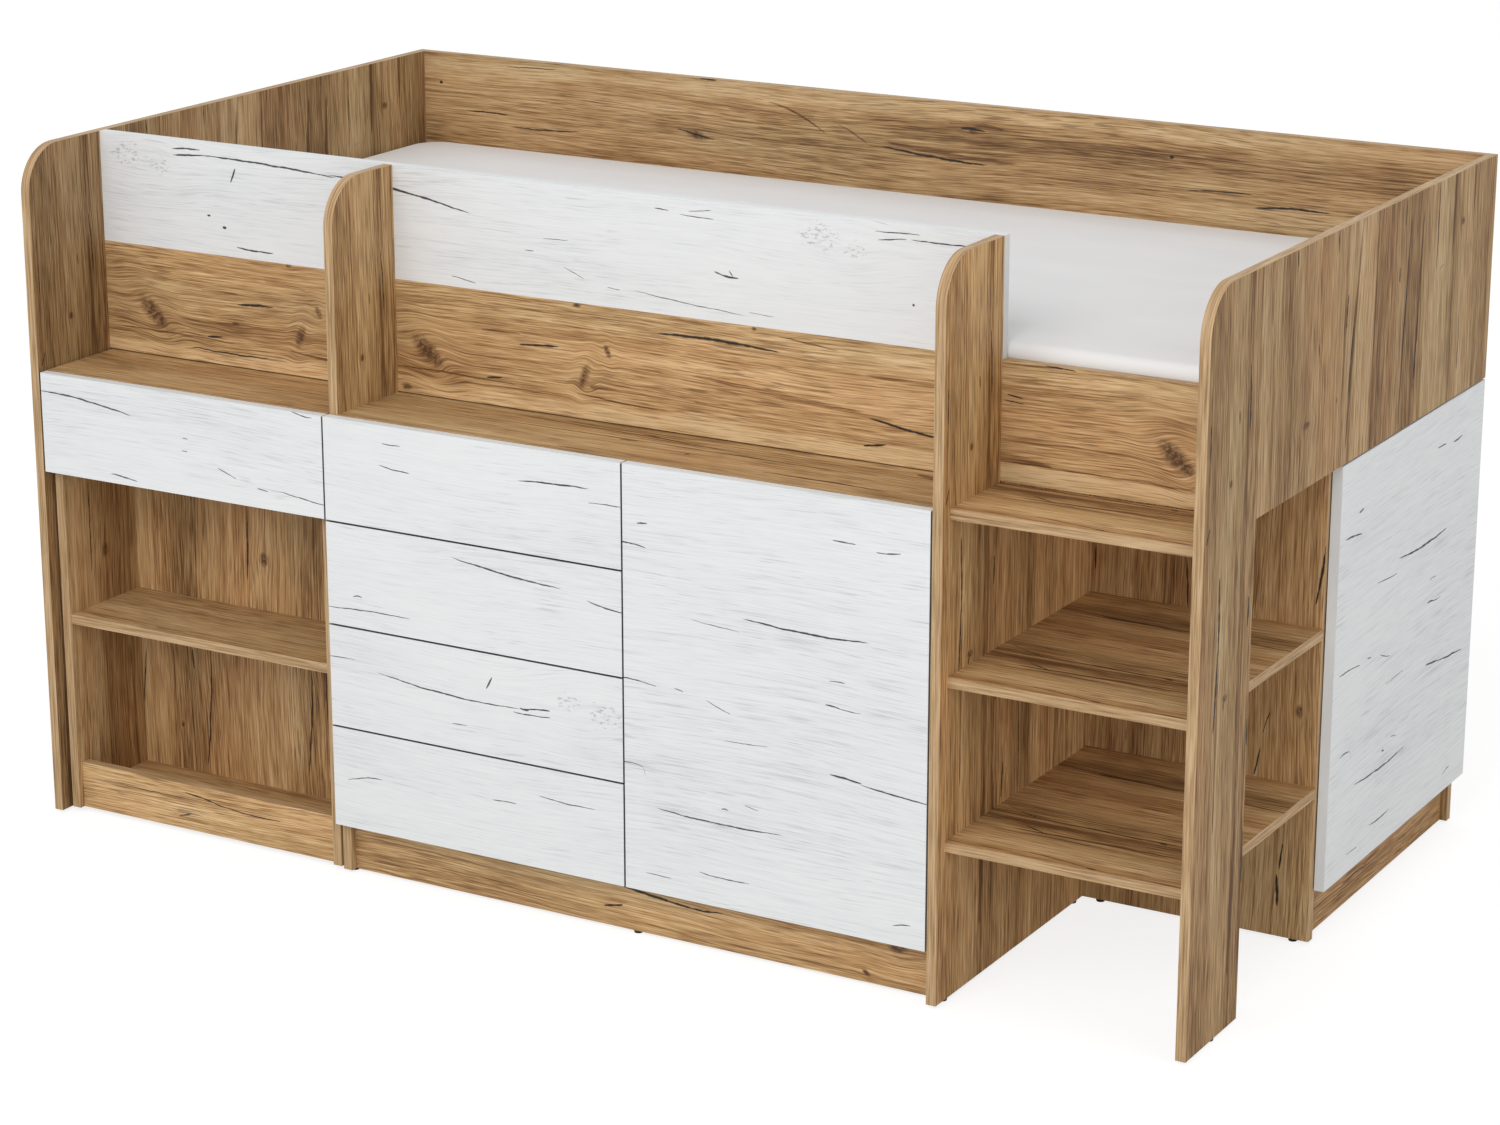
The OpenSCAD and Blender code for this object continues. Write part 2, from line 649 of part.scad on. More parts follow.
// Steel fork screwed to a side board, drawn from the wheel's axis on that board's face
module castor_bracket() {
    for (x = [0, castor_w - castor_t]) along_x(x, castor_t) castor_cheek();
    board([0, castor_w], [-castor_half, castor_half], [castor_top - castor_t, castor_top]);
    rotate([0, 90, 0]) {
        cylinder(h = castor_w + axle_head, d = axle_d);
        translate([0, 0, castor_w]) cylinder(h = axle_head, d = axle_d + 2 * hub_wall);
    }
}

module castor_cheek() {
    foot_half = castor_half * 2 / 3;
    circle(foot_half);
    polygon([[-foot_half, 0], [foot_half, 0], [castor_half, castor_top], [-castor_half, castor_top]]);
}

// Wheel with rim, disc and hub, drawn like its bracket
module castor_wheel() {
    bore = axle_d / 2 + axle_play;
    translate([castor_t + wheel_side_gap, 0, 0]) rotate([0, 90, 0]) rotate_extrude() {
        polygon([[wheel_r - rim_t, 0], [wheel_r - rim_chamfer, 0], [wheel_r, rim_chamfer],
                 [wheel_r, wheel_w - rim_chamfer], [wheel_r - rim_chamfer, wheel_w], [wheel_r - rim_t, wheel_w]]);
        translate([bore, (wheel_w - disc_w) / 2]) square([wheel_r - rim_t / 2 - bore, disc_w]);
        translate([bore, 0]) square([hub_wall, wheel_w]);
    }
}

module castor_brackets() color(steel) placed() on_both_sides(desk_bay)
    for (y = [front_castor_y, rear_castor_y]) translate([0, y, wheel_r]) castor_bracket();

module front_castor_wheels() color(grey_rubber) placed() on_both_sides(desk_bay)
    translate([0, front_castor_y, wheel_r]) castor_wheel();

module rear_castor_wheels() color(grey_rubber) placed() on_both_sides(desk_bay)
    translate([0, rear_castor_y, wheel_r]) castor_wheel();

// Foot places: end panel, chest side and plinth, ladder divider, post, wardrobe sides
foot_places = concat(
    [for (y = [end_foot_inset, bed_w - end_foot_inset]) [board_t / 2, y]],
    [for (x = [chest_x0, ladder_x0], y = [carcass_y + foot_inset, chest_d - foot_inset]) [x + board_t / 2, y]],
    [[part_x, carcass_y + plinth_setback + board_t / 2]],
    [[inner_x1 + board_t / 2, step_d - post_foot_inset]],
    [for (x = [ladder_x1 + wardrobe_foot_inset, wardrobe_x1 - wardrobe_foot_inset],
          y = [wardrobe_y[0] + board_t / 2, wardrobe_y[1] - board_t / 2]) [x, y]]);

module floor_feet() color(black_plastic) placed() for (place = foot_places)
    translate([place[0], place[1], 0]) cylinder(h = foot_h, d1 = foot_d - foot_taper, d2 = foot_d);

// ---- Nodes ----

left_end_panel();
right_end_panel();
front_divider();
ladder_divider();
front_rail();
guard_board();
back_board();
slat_ledgers();
bed_slats();
mattress();
steps();
shelf_pins();
chest_top();
chest_left_side();
chest_partition();
chest_bottom();
chest_plinth();
chest_back();
cupboard_shelf();
cupboard_door();
cupboard_hinge_cups();
hinge_arms();
chest_runners();
for (n = DRAWERS) {
    drawer_front(n);
    chest_drawer_box(n);
    drawer_slides(n);
}
wardrobe_front_side();
wardrobe_rear_side();
wardrobe_top();
wardrobe_bottom();
wardrobe_back();
wardrobe_plinth();
wardrobe_shelf();
wardrobe_door();
wardrobe_hinge_cups();
desk_top();
desk_left_side();
desk_right_side();
desk_shelf();
desk_floor();
desk_back();
desk_plinth();
desk_leg_frame();
desk_runners();
desk_drawer_front();
desk_drawer_box();
desk_drawer_slides();
castor_brackets();
front_castor_wheels();
rear_castor_wheels();
floor_feet();
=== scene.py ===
import bpy
import math
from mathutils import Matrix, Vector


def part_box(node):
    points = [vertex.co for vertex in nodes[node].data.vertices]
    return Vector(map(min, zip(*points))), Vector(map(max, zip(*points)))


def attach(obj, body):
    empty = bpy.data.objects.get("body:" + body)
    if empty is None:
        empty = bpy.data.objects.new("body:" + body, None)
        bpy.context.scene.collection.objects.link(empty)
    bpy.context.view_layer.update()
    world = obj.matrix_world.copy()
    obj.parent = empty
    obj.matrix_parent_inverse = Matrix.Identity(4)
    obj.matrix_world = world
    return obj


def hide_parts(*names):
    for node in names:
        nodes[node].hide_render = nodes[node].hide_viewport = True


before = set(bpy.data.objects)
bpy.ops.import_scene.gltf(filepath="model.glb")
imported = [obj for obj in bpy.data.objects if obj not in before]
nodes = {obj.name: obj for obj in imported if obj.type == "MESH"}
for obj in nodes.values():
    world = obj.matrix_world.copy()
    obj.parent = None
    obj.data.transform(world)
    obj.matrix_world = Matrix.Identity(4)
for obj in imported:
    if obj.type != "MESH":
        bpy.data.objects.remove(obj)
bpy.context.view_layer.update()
print("frame loaded:", len(nodes), "nodes")


# short helpers for shader nodes
def addNode(tree, kind, feeds=None, **settings):
    node = tree.nodes.new(kind)
    for name, value in settings.items():
        setattr(node, name, value)
    for place, value in (feeds or {}).items():
        if isinstance(value, bpy.types.NodeSocket):
            tree.links.new(value, node.inputs[place])
        else:
            node.inputs[place].default_value = value
    return node


def calc(tree, operation, *values):
    return addNode(tree, "ShaderNodeMath", dict(enumerate(values)), operation=operation).outputs[0]


def split(tree, vector):
    return addNode(tree, "ShaderNodeSeparateXYZ", {0: vector}).outputs


def join(tree, x, y, z=0.0):
    return addNode(tree, "ShaderNodeCombineXYZ", {0: x, 1: y, 2: z}).outputs[0]


def distance(tree, x, y):
    return addNode(tree, "ShaderNodeVectorMath", {0: join(tree, x, y)}, operation="LENGTH").outputs["Value"]


def dimmed(tree, colour, tone):
    return addNode(tree, "ShaderNodeVectorMath", {0: colour, "Scale": tone}, operation="SCALE").outputs[0]


# adds a noise, whose values lie about a half, so that its middle changes nothing
def addScaled(tree, total, value, scale):
    return calc(tree, "MULTIPLY_ADD", calc(tree, "SUBTRACT", value, 0.5), scale, total)


def remap(tree, value, low, high, newLow=0.0, newHigh=1.0):
    feeds = {"Value": value, "From Min": low, "From Max": high, "To Min": newLow, "To Max": newHigh}
    return addNode(tree, "ShaderNodeMapRange", feeds, interpolation_type="SMOOTHSTEP").outputs[0]


def stretched(tree, axes, scales, detail=2.0, roughness=0.5):
    parts = [calc(tree, "MULTIPLY", axis, scale) for axis, scale in zip(axes, scales)]
    feeds = {"Vector": join(tree, *parts), "Scale": 1.0, "Detail": detail, "Roughness": roughness}
    return addNode(tree, "ShaderNodeTexNoise", feeds, noise_dimensions=f"{len(scales)}D").outputs[0]


def patchy(tree, axes, scales, low, high, newLow=0.0, newHigh=1.0, detail=2.0):
    return remap(tree, stretched(tree, axes, scales, detail), low, high, newLow, newHigh)


def blend(tree, amount, low, high, kind="MIX"):
    feeds = {0: amount, 6: low, 7: high}
    return addNode(tree, "ShaderNodeMix", feeds, data_type="RGBA", blend_type=kind).outputs[2]


def ramp(tree, value, stops):
    node = addNode(tree, "ShaderNodeValToRGB", {0: value})
    steps = node.color_ramp.elements
    while len(steps) < len(stops):
        steps.new(0.5)
    for step, (at, colour) in zip(steps, stops):
        step.position = at
        step.color = (*colour, 1.0)
    return node.outputs[0]


def tinted(tree, colour, value, hues):
    return blend(tree, 1.0, colour, ramp(tree, value, hues), "MULTIPLY")


def newGroup(name, given, made):
    tree = bpy.data.node_groups.new(name, "ShaderNodeTree")
    for label, kind in given.items():
        tree.interface.new_socket(label, in_out="INPUT", socket_type="NodeSocket" + kind)
    for label, kind in made.items():
        tree.interface.new_socket(label, in_out="OUTPUT", socket_type="NodeSocket" + kind)
    return tree, tree.nodes.new("NodeGroupInput").outputs, tree.nodes.new("NodeGroupOutput").inputs


def useGroup(tree, group, feeds):
    return addNode(tree, "ShaderNodeGroup", feeds, node_tree=group).outputs


def newMaterial(name):
    material = bpy.data.materials.new(name)
    material.use_nodes = True
    return material, material.node_tree, material.node_tree.nodes["Principled BSDF"]


def addBump(tree, shader, height, look):
    bump = addNode(tree, "ShaderNodeBump", {"Height": height, **look})
    tree.links.new(bump.outputs[0], shader.inputs["Normal"])


# marks on a board, whose place is (along the grain, across it, strength); lengths are in metres
# three values together are a noise's scales, detail and roughness
markLook = {
    "crackShape": {"core": 0.3, "softness": 0.00005, "taper": 0.25},
    "spotCore": 0.25,
    "spotHalo": (0.4, 3.0),
    "spotPush": -0.30,  # how far the grain bends around a spot
    "ragged": ((24.0, 12.0), 4.0, 0.6),
    "raggedness": 0.004,
    "strength": {"scales": (60.0, 20.0), "low": 0.25, "high": 0.65, "newLow": 0.9, "newHigh": 1.6},
}


# 1 in the middle of a line and 0 from its ends on; part runs from -1 to 1 along it
def spanOf(tree, part):
    square = calc(tree, "MULTIPLY", part, part)
    return calc(tree, "MAXIMUM", calc(tree, "SUBTRACT", 1.0, square), 0.0)


# full in the core of a line's width, soft at its sides, fading over its taper
def lineShape(tree, span, away, width, core, softness, taper):
    wide = calc(tree, "MULTIPLY", calc(tree, "SQRT", span), width)
    full, gone = calc(tree, "MULTIPLY", wide, core), calc(tree, "ADD", wide, softness)
    ends = remap(tree, span, 0.0, taper)
    return calc(tree, "MULTIPLY", remap(tree, away, full, gone, 1.0, 0.0), ends)


def makeCrackMark(look):
    tree, given, made = newGroup(
        "crackMark",
        {
            "Place": "Vector", "Middle": "Vector",
            "Half": "Float", "Slope": "Float", "Bend": "Float", "Width": "Float",
        },
        {"Mask": "Float"},
    )
    place, middle = split(tree, given["Place"]), split(tree, given["Middle"])
    along, across = [calc(tree, "SUBTRACT", place[i], middle[i]) for i in range(2)]
    span = spanOf(tree, calc(tree, "DIVIDE", along, given["Half"]))
    line = calc(tree, "MULTIPLY_ADD", along, given["Slope"], calc(tree, "MULTIPLY", span, given["Bend"]))
    away = calc(tree, "ABSOLUTE", calc(tree, "SUBTRACT", across, line))
    width = calc(tree, "MULTIPLY", given["Width"], place[2])
    tree.links.new(lineShape(tree, span, away, width, **look["crackShape"]), made["Mask"])
    return tree


def makeSpotMark(look):
    tree, given, made = newGroup(
        "spotMark",
        {"Place": "Vector", "Middle": "Vector", "Radii": "Vector", "Tilt": "Float"},
        {"Core": "Float", "Push": "Float"},
    )
    place, middle, radii = [split(tree, given[label]) for label in ("Place", "Middle", "Radii")]
    along, across = [calc(tree, "SUBTRACT", place[i], middle[i]) for i in range(2)]
    across = calc(tree, "SUBTRACT", across, calc(tree, "MULTIPLY", along, given["Tilt"]))
    away = distance(tree, calc(tree, "DIVIDE", along, radii[0]), calc(tree, "DIVIDE", across, radii[1]))
    tree.links.new(remap(tree, away, look["spotCore"], 1.0, 1.0, 0.0), made["Core"])
    halo = calc(tree, "MULTIPLY", remap(tree, away, *look["spotHalo"], 1.0, 0.0), look["spotPush"])
    tree.links.new(calc(tree, "MULTIPLY", halo, across), made["Push"])
    return tree


crackMark = makeCrackMark(markLook)
spotMark = makeSpotMark(markLook)


# the grain of a board: layers of noise that follow the board or the flow of its fibres, each with
# its scales along and across, its detail, its roughness and its part in the tone
# four values together are a span and what its two ends become
flowScales = (0.9, 3.2)


def flowOf(tree, along, across, push, wander):
    bent = calc(tree, "ADD", across, push)
    return addScaled(tree, bent, stretched(tree, (along, across), flowScales), wander)


def layered(tree, along, ways, middle, layers):
    made, shade = {}, middle
    for name, (follows, scales, detail, roughness, part) in layers.items():
        made[name] = stretched(tree, (along, ways[follows]), scales, detail, roughness)
        shade = addScaled(tree, shade, made[name], part)
    return made, shade


# oak board
oakLook = {
    "tones": [
        (0.0, (0.120, 0.055, 0.020)),
        (0.2, (0.255, 0.135, 0.053)),
        (0.4, (0.385, 0.228, 0.098)),
        (0.6, (0.490, 0.312, 0.146)),
        (0.8, (0.585, 0.398, 0.205)),
        (1.0, (0.680, 0.490, 0.280)),
    ],
    "middle": 0.55,
    "layers": {
        "bands": ("flow", (0.9, 44.0), 3.0, 0.6, 0.60),
        "lines": ("flow", (3.5, 230.0), 3.0, 0.55, 0.85),
        "fibres": ("flow", (14.0, 520.0), 2.0, 0.6, 1.30),
        "broad": ("board", (0.7, 6.0), 2.0, 0.5, 0.60),
        "blotches": ("board", (5.0, 18.0), 3.0, 0.6, 0.35),
    },
    "wander": 0.050,
    "plankScale": 11.0,
    "plankPart": 0.28,
    "plankHues": [(0.2, (0.955, 0.975, 0.965)), (0.8, (1.025, 0.985, 0.965))],
    "warmthScales": (1.6, 10.0),
    "warmthHues": [(0.32, (0.975, 1.000, 1.000)), (0.68, (1.030, 0.970, 0.925))],
    "knotCells": {"scales": (1.5, 4.0), "leastChance": 0.72, "flatness": 0.5},
    "knotCore": (0.0010, 0.0050),
    "knotHalo": (0.003, 0.024),
    "knotPush": -0.40,
    "knotShade": -0.12,
    "thinLines": {"scales": (0.8, 42.0), "width": 0.035},
    "fineLines": {"scales": (1.6, 120.0), "width": 0.06},
    "finePart": 0.7,
    "thinShade": -0.12,
    "thinPatches": {"scales": (4.0, 30.0), "low": 0.35, "high": 0.65, "newLow": 0.2},
    "pores": {"scales": (14.0, 400.0), "low": 0.54, "high": 0.66},
    "porePatches": {
        "scales": (3.0, 11.0), "detail": 1.0, "low": 0.35, "high": 0.65, "newLow": 0.25, "newHigh": 0.65,
    },
    "streaks": {"cells": (1.3, 11.0), "share": 0.75, "longest": 0.28, "width": 0.0018},
    "streakPart": 0.6,
    "cracks": {"cells": (2.3, 6.0), "share": 0.35, "longest": 0.09, "width": 0.0016},
    "flecks": {"scales": (110.0, 170.0), "low": 0.44, "high": 0.58, "newLow": 0.40},
    "knotRim": 0.50,
    "pore": (0.150, 0.075, 0.030, 1.0),
    "knot": (0.095, 0.042, 0.017, 1.0),
    "crack": (0.022, 0.014, 0.009, 1.0),
    "edging": ((11.0, 11.0, 420.0), 3.0, 0.6),
    "edgeTones": [
        (0.32, (0.275, 0.161, 0.073)),
        (0.47, (0.430, 0.274, 0.137)),
        (0.66, (0.590, 0.410, 0.230)),
    ],
    "roughness": (0.2, 0.8, 0.62, 0.50),
    "fibreHeight": 0.4,
}
streakLook = {
    "ragged": ((26.0, 12.0), 3.0, 0.6),
    "raggedness": 0.005,
    "shortest": 0.3,
    "narrowest": 0.4,
    "shape": {"core": 0.2, "softness": 0.0002, "taper": 0.3},
}


# the random numbers of the cell a place is in, and the place as seen from that cell's point
def cellOf(tree, along, across, scales):
    scaled = join(tree, calc(tree, "MULTIPLY", along, scales[0]), calc(tree, "MULTIPLY", across, scales[1]))
    feeds = {"Vector": scaled, "Scale": 1.0}
    found = addNode(tree, "ShaderNodeTexVoronoi", feeds, voronoi_dimensions="2D").outputs
    point = split(tree, found["Position"])
    fromAlong = calc(tree, "SUBTRACT", along, calc(tree, "DIVIDE", point[0], scales[0]))
    fromAcross = calc(tree, "SUBTRACT", across, calc(tree, "DIVIDE", point[1], scales[1]))
    return split(tree, found["Color"]), fromAlong, fromAcross


def streaks(tree, along, flow, cells, share, longest, width):
    chance, fromMiddle, fromLine = cellOf(tree, along, flow, cells)
    ragged = stretched(tree, (along, flow), *streakLook["ragged"])
    fromLine = addScaled(tree, fromLine, ragged, streakLook["raggedness"])
    shortest, narrowest = longest * streakLook["shortest"], width * streakLook["narrowest"]
    half = calc(tree, "MULTIPLY_ADD", chance[1], longest - shortest, shortest)
    span = spanOf(tree, calc(tree, "DIVIDE", fromMiddle, half))
    wide = calc(tree, "MULTIPLY_ADD", chance[2], width, narrowest)
    mask = lineShape(tree, span, calc(tree, "ABSOLUTE", fromLine), wide, **streakLook["shape"])
    return calc(tree, "MULTIPLY", mask, calc(tree, "LESS_THAN", chance[0], share))


def thinLines(tree, along, flow, scales, width):
    wave = stretched(tree, (along, flow), scales, 1.0)
    return remap(tree, calc(tree, "ABSOLUTE", calc(tree, "SUBTRACT", wave, 0.5)), 0.0, width, 1.0, 0.0)


def makeOakGrain(look):
    tree, given, made = newGroup(
        "oakGrain",
        {
            "Place": "Vector", "Edge": "Float", "ToneAndShade": "Float", "Planks": "Float",
            "Bands": "Float", "Cracks": "Float", "Knots": "Float", "Push": "Float",
        },
        {"Colour": "Color", "Roughness": "Float", "Height": "Float"},
    )
    along, across, through = split(tree, given["Place"])

    # small knots of its own, one in a few cells
    cells = look["knotCells"]
    chance, fromAlong, fromAcross = cellOf(tree, along, across, cells["scales"])
    chosen = calc(tree, "GREATER_THAN", chance[0], cells["leastChance"])
    away = distance(tree, calc(tree, "MULTIPLY", fromAlong, cells["flatness"]), fromAcross)
    core = calc(tree, "MULTIPLY", remap(tree, away, *look["knotCore"], 1.0, 0.0), chosen)
    halo = calc(tree, "MULTIPLY", remap(tree, away, *look["knotHalo"], 1.0, 0.0), chosen)
    bend = calc(tree, "MULTIPLY", halo, fromAcross)
    push = calc(tree, "MULTIPLY_ADD", bend, look["knotPush"], given["Push"])

    # the tone of the grain, with planks, halos of knots and thin dark lines
    flow = flowOf(tree, along, across, push, look["wander"])
    middle = calc(tree, "ADD", given["Bands"], look["middle"])
    layers, shade = layered(tree, along, {"flow": flow, "board": across}, middle, look["layers"])
    feeds = {"W": calc(tree, "MULTIPLY", flow, look["plankScale"]), "Scale": 1.0}
    planks = addNode(tree, "ShaderNodeTexVoronoi", feeds, voronoi_dimensions="1D").outputs["Color"]
    plankChance = split(tree, planks)
    shade = addScaled(tree, shade, plankChance[0], calc(tree, "MULTIPLY", given["Planks"], look["plankPart"]))
    shade = calc(tree, "MULTIPLY_ADD", halo, look["knotShade"], shade)
    fine = calc(tree, "MULTIPLY", thinLines(tree, along, flow, **look["fineLines"]), look["finePart"])
    thin = calc(tree, "MAXIMUM", thinLines(tree, along, flow, **look["thinLines"]), fine)
    thin = calc(tree, "MULTIPLY", thin, patchy(tree, (along, flow), **look["thinPatches"]))
    shade = calc(tree, "MULTIPLY_ADD", thin, look["thinShade"], shade)
    colour = ramp(tree, shade, look["tones"])
    colour = blend(tree, given["Planks"], colour, tinted(tree, colour, plankChance[1], look["plankHues"]))
    warmth = stretched(tree, (along, across), look["warmthScales"])
    colour = tinted(tree, colour, warmth, look["warmthHues"])

    # short dark pores along the grain, dark streaks, knots, then black cracks
    pores = patchy(tree, (along, flow), **look["pores"])
    pores = calc(tree, "MULTIPLY", pores, patchy(tree, (along, across), **look["porePatches"]))
    dark = calc(tree, "MULTIPLY", streaks(tree, along, flow, **look["streaks"]), look["streakPart"])
    colour = blend(tree, calc(tree, "MAXIMUM", dark, pores), colour, look["pore"])
    knots = calc(tree, "MAXIMUM", core, given["Knots"])
    colour = blend(tree, calc(tree, "MULTIPLY", knots, look["knotRim"]), colour, look["pore"])
    flecks = patchy(tree, (along, across), **look["flecks"])
    colour = blend(tree, calc(tree, "MULTIPLY", knots, flecks), colour, look["knot"])
    ownCracks = streaks(tree, along, flow, **look["cracks"])
    colour = blend(tree, calc(tree, "MAXIMUM", ownCracks, given["Cracks"]), colour, look["crack"])

    # the edging has fine lines that run along the board's edge
    edging = ramp(tree, stretched(tree, (along, across, through), *look["edging"]), look["edgeTones"])
    # the board's tone scales its face, partly as its own tone and partly as painted light and shade
    colour = blend(tree, given["Edge"], dimmed(tree, colour, given["ToneAndShade"]), edging)
    tree.links.new(colour, made["Colour"])
    tree.links.new(remap(tree, shade, *look["roughness"]), made["Roughness"])
    raised = calc(tree, "MULTIPLY_ADD", layers["fibres"], look["fibreHeight"], layers["lines"])
    tree.links.new(calc(tree, "MULTIPLY_ADD", ownCracks, -1.0, raised), made["Height"])
    return tree


# white oak board
whiteLook = {
    "tones": [
        (0.15, (0.560, 0.585, 0.600)),
        (0.38, (0.725, 0.742, 0.752)),
        (0.55, (0.775, 0.787, 0.793)),
        (0.80, (0.805, 0.812, 0.815)),
    ],
    "middle": 0.52,
    "layers": {
        "bands": ("flow", (1.8, 60.0), 2.0, 0.5, 0.20),
        "lines": ("flow", (4.0, 260.0), 2.0, 0.6, 0.50),
        "fibres": ("flow", (14.0, 560.0), 2.0, 0.6, 0.80),
        "clouds": ("board", (9.0, 30.0), 3.0, 0.6, 0.25),
        "broad": ("board", (1.5, 6.0), 1.0, 0.5, 0.40),
    },
    "wander": 0.06,
    "strokes": {"scales": (16.0, 330.0), "detail": 1.0, "low": 0.62, "high": 0.78},
    "strokePatches": {"scales": (5.0, 20.0), "detail": 1.0, "low": 0.46, "high": 0.70},
    "strokePart": 0.30,
    "specks": ((85.0, 240.0), 4.0, 0.75),
    "speckLift": 0.27,
    "speckSpan": (0.77, 0.93, 0.0, 0.65),
    "speck": (0.30, 0.31, 0.33, 1.0),
    "crack": (0.032, 0.032, 0.036, 1.0),
    "edge": (0.755, 0.778, 0.790),
    "roughness": (0.2, 0.8, 0.52, 0.42),
}


def makeWhiteGrain(look):
    tree, given, made = newGroup(
        "whiteGrain",
        {
            "Place": "Vector", "Edge": "Float", "ToneAndShade": "Float",
            "Cracks": "Float", "Specks": "Float", "Push": "Float",
        },
        {"Colour": "Color", "Roughness": "Float", "Height": "Float"},
    )
    along, across = split(tree, given["Place"])[:2]
    flow = flowOf(tree, along, across, given["Push"], look["wander"])
    ways = {"flow": flow, "board": across}
    layers, shade = layered(tree, along, ways, look["middle"], look["layers"])
    colour = ramp(tree, shade, look["tones"])

    # thin grey strokes where the brushed grain shows through, and specks where its knots lie
    strokes = patchy(tree, (along, flow), **look["strokes"])
    strokes = calc(tree, "MULTIPLY", strokes, patchy(tree, (along, across), **look["strokePatches"]))
    colour = blend(tree, calc(tree, "MULTIPLY", strokes, look["strokePart"]), colour, look["speck"])
    specks = stretched(tree, (along, across), *look["specks"])
    specks = calc(tree, "MULTIPLY_ADD", given["Specks"], look["speckLift"], specks)
    colour = blend(tree, remap(tree, specks, *look["speckSpan"]), colour, look["speck"])
    colour = blend(tree, given["Cracks"], colour, look["crack"])
    # the edges take the board's tone, which scales them as painted shade in the gaps between fronts
    colour = blend(tree, given["Edge"], colour, dimmed(tree, look["edge"], given["ToneAndShade"]))
    tree.links.new(colour, made["Colour"])
    tree.links.new(remap(tree, shade, *look["roughness"]), made["Roughness"])
    tree.links.new(calc(tree, "SUBTRACT", layers["lines"], given["Cracks"]), made["Height"])
    return tree


grains = {"oak": makeOakGrain(oakLook), "white": makeWhiteGrain(whiteLook)}
print("node groups built")


# boards: which way their grain runs, and the marks that show
# axes are those along the grain, across it and through the board
upFacingSide = "ZYX"
upFacingFront = "ZXY"
levelFront = "XZY"
levelFlat = "XYZ"
levelEnd = "YZX"
crossFlat = "YXZ"

# a crack is (start along, start across, end along, end across, bend, width), in metres
doorCracks = [
    (0.025, 0.579, 0.044, 0.581, 0.000, 0.0016),
    (-0.03, 0.549, 0.042, 0.543, 0.001, 0.0014),
    (0.200, 0.461, 0.420, 0.457, -0.005, 0.0018),
    (0.353, 0.601, 0.393, 0.600, 0.0, 0.0012),
    (0.424, 0.594, 0.466, 0.597, -0.001, 0.0012),
    (0.114, 0.445, 0.203, 0.439, -0.001, 0.0007),
    (0.349, 0.388, 0.377, 0.388, 0.001, 0.0009),
    (0.343, 0.351, 0.370, 0.348, 0.001, 0.0013),
    (0.362, 0.349, 0.404, 0.347, -0.001, 0.0009),
    (-0.03, 0.337, 0.060, 0.331, 0.001, 0.0011),
    (0.088, 0.333, 0.104, 0.330, 0.0, 0.0009),
    (0.142, 0.324, 0.186, 0.309, -0.001, 0.0008),
    (0.172, 0.266, 0.250, 0.269, 0.0, 0.0007),
    (0.350, 0.246, 0.406, 0.240, 0.0, 0.0018),
    (0.400, 0.239, 0.520, 0.227, -0.001, 0.0014),
    (0.052, 0.139, 0.277, 0.136, -0.005, 0.0014),
    (0.169, 0.157, 0.181, 0.156, 0.002, 0.0014),
    (0.208, 0.171, 0.233, 0.166, 0.0, 0.0007),
    (-0.01, 0.201, 0.034, 0.199, 0.003, 0.0010),
    (0.034, 0.199, 0.037, 0.186, 0.0, 0.0012),
    (0.035, 0.031, 0.083, 0.030, 0.0, 0.0007),
    (0.128, 0.050, 0.219, 0.048, -0.002, 0.0011),
    (0.457, 0.030, 0.489, 0.035, 0.001, 0.0010),
]


# lines moved along and across their board and made wider; a band's last number stays
def movedLines(lines, alongAt=0.0, acrossAt=0.0, wider=1.0):
    return [
        (a + alongAt, b + acrossAt, c + alongAt, d + acrossAt, bend, width * wider, *change)
        for a, b, c, d, bend, width, *change in lines
    ]


# the end panels and dividers carry one print, at the same places on each
sideCracks = [
    (0.893, -0.411, 0.990, -0.416, 0.001, 0.0060),
    (0.962, -0.063, 1.016, -0.060, 0.000, 0.0050),
    (0.850, -0.044, 0.985, -0.031, -0.002, 0.0046),
    (0.932, -0.162, 0.964, -0.167, 0.000, 0.0036),
    (0.876, -0.545, 0.932, -0.547, 0.000, 0.0050),
    (0.909, -0.448, 0.929, -0.450, 0.000, 0.0036),
    (0.762, -0.550, 0.784, -0.540, 0.000, 0.0050),
    (0.585, -0.495, 0.707, -0.500, 0.001, 0.0062),
    (0.475, -0.503, 0.600, -0.497, 0.001, 0.0060),
    (0.603, -0.393, 0.650, -0.393, 0.000, 0.0056),
    (0.423, -0.380, 0.466, -0.381, 0.000, 0.0046),
    (0.263, -0.356, 0.322, -0.351, 0.000, 0.0070),
    (0.258, -0.299, 0.408, -0.302, 0.001, 0.0040),
    (0.212, -0.381, 0.300, -0.381, 0.000, 0.0046),
    (0.991, 0.148, 1.015, 0.147, 0.000, 0.0046),
    (1.083, -0.106, 1.118, -0.106, 0.000, 0.0040),
    (1.073, 0.162, 1.114, 0.165, 0.000, 0.0040),
    (0.974, 0.303, 1.123, 0.303, 0.001, 0.0036),
    (1.093, -0.258, 1.117, -0.261, 0.000, 0.0040),
    (0.880, 0.172, 0.975, 0.179, 0.000, 0.0044),
    (0.826, 0.227, 0.856, 0.229, 0.000, 0.0080),
    (0.850, 0.229, 0.935, 0.234, 0.000, 0.0040),
    (0.978, 0.318, 0.984, 0.336, 0.000, 0.0060),
]
sideKnots = [
    (0.851, -0.203, 0.008, 0.018, 0.0),
    (0.863, -0.089, 0.007, 0.003, 0.0),
    (0.830, -0.472, 0.008, 0.007, 0.0),
    (1.037, 0.414, 0.008, 0.010, 0.0),
    (0.520, -0.467, 0.008, 0.012, 0.0),
    (0.512, -0.470, 0.010, 0.004, 0.2),
]

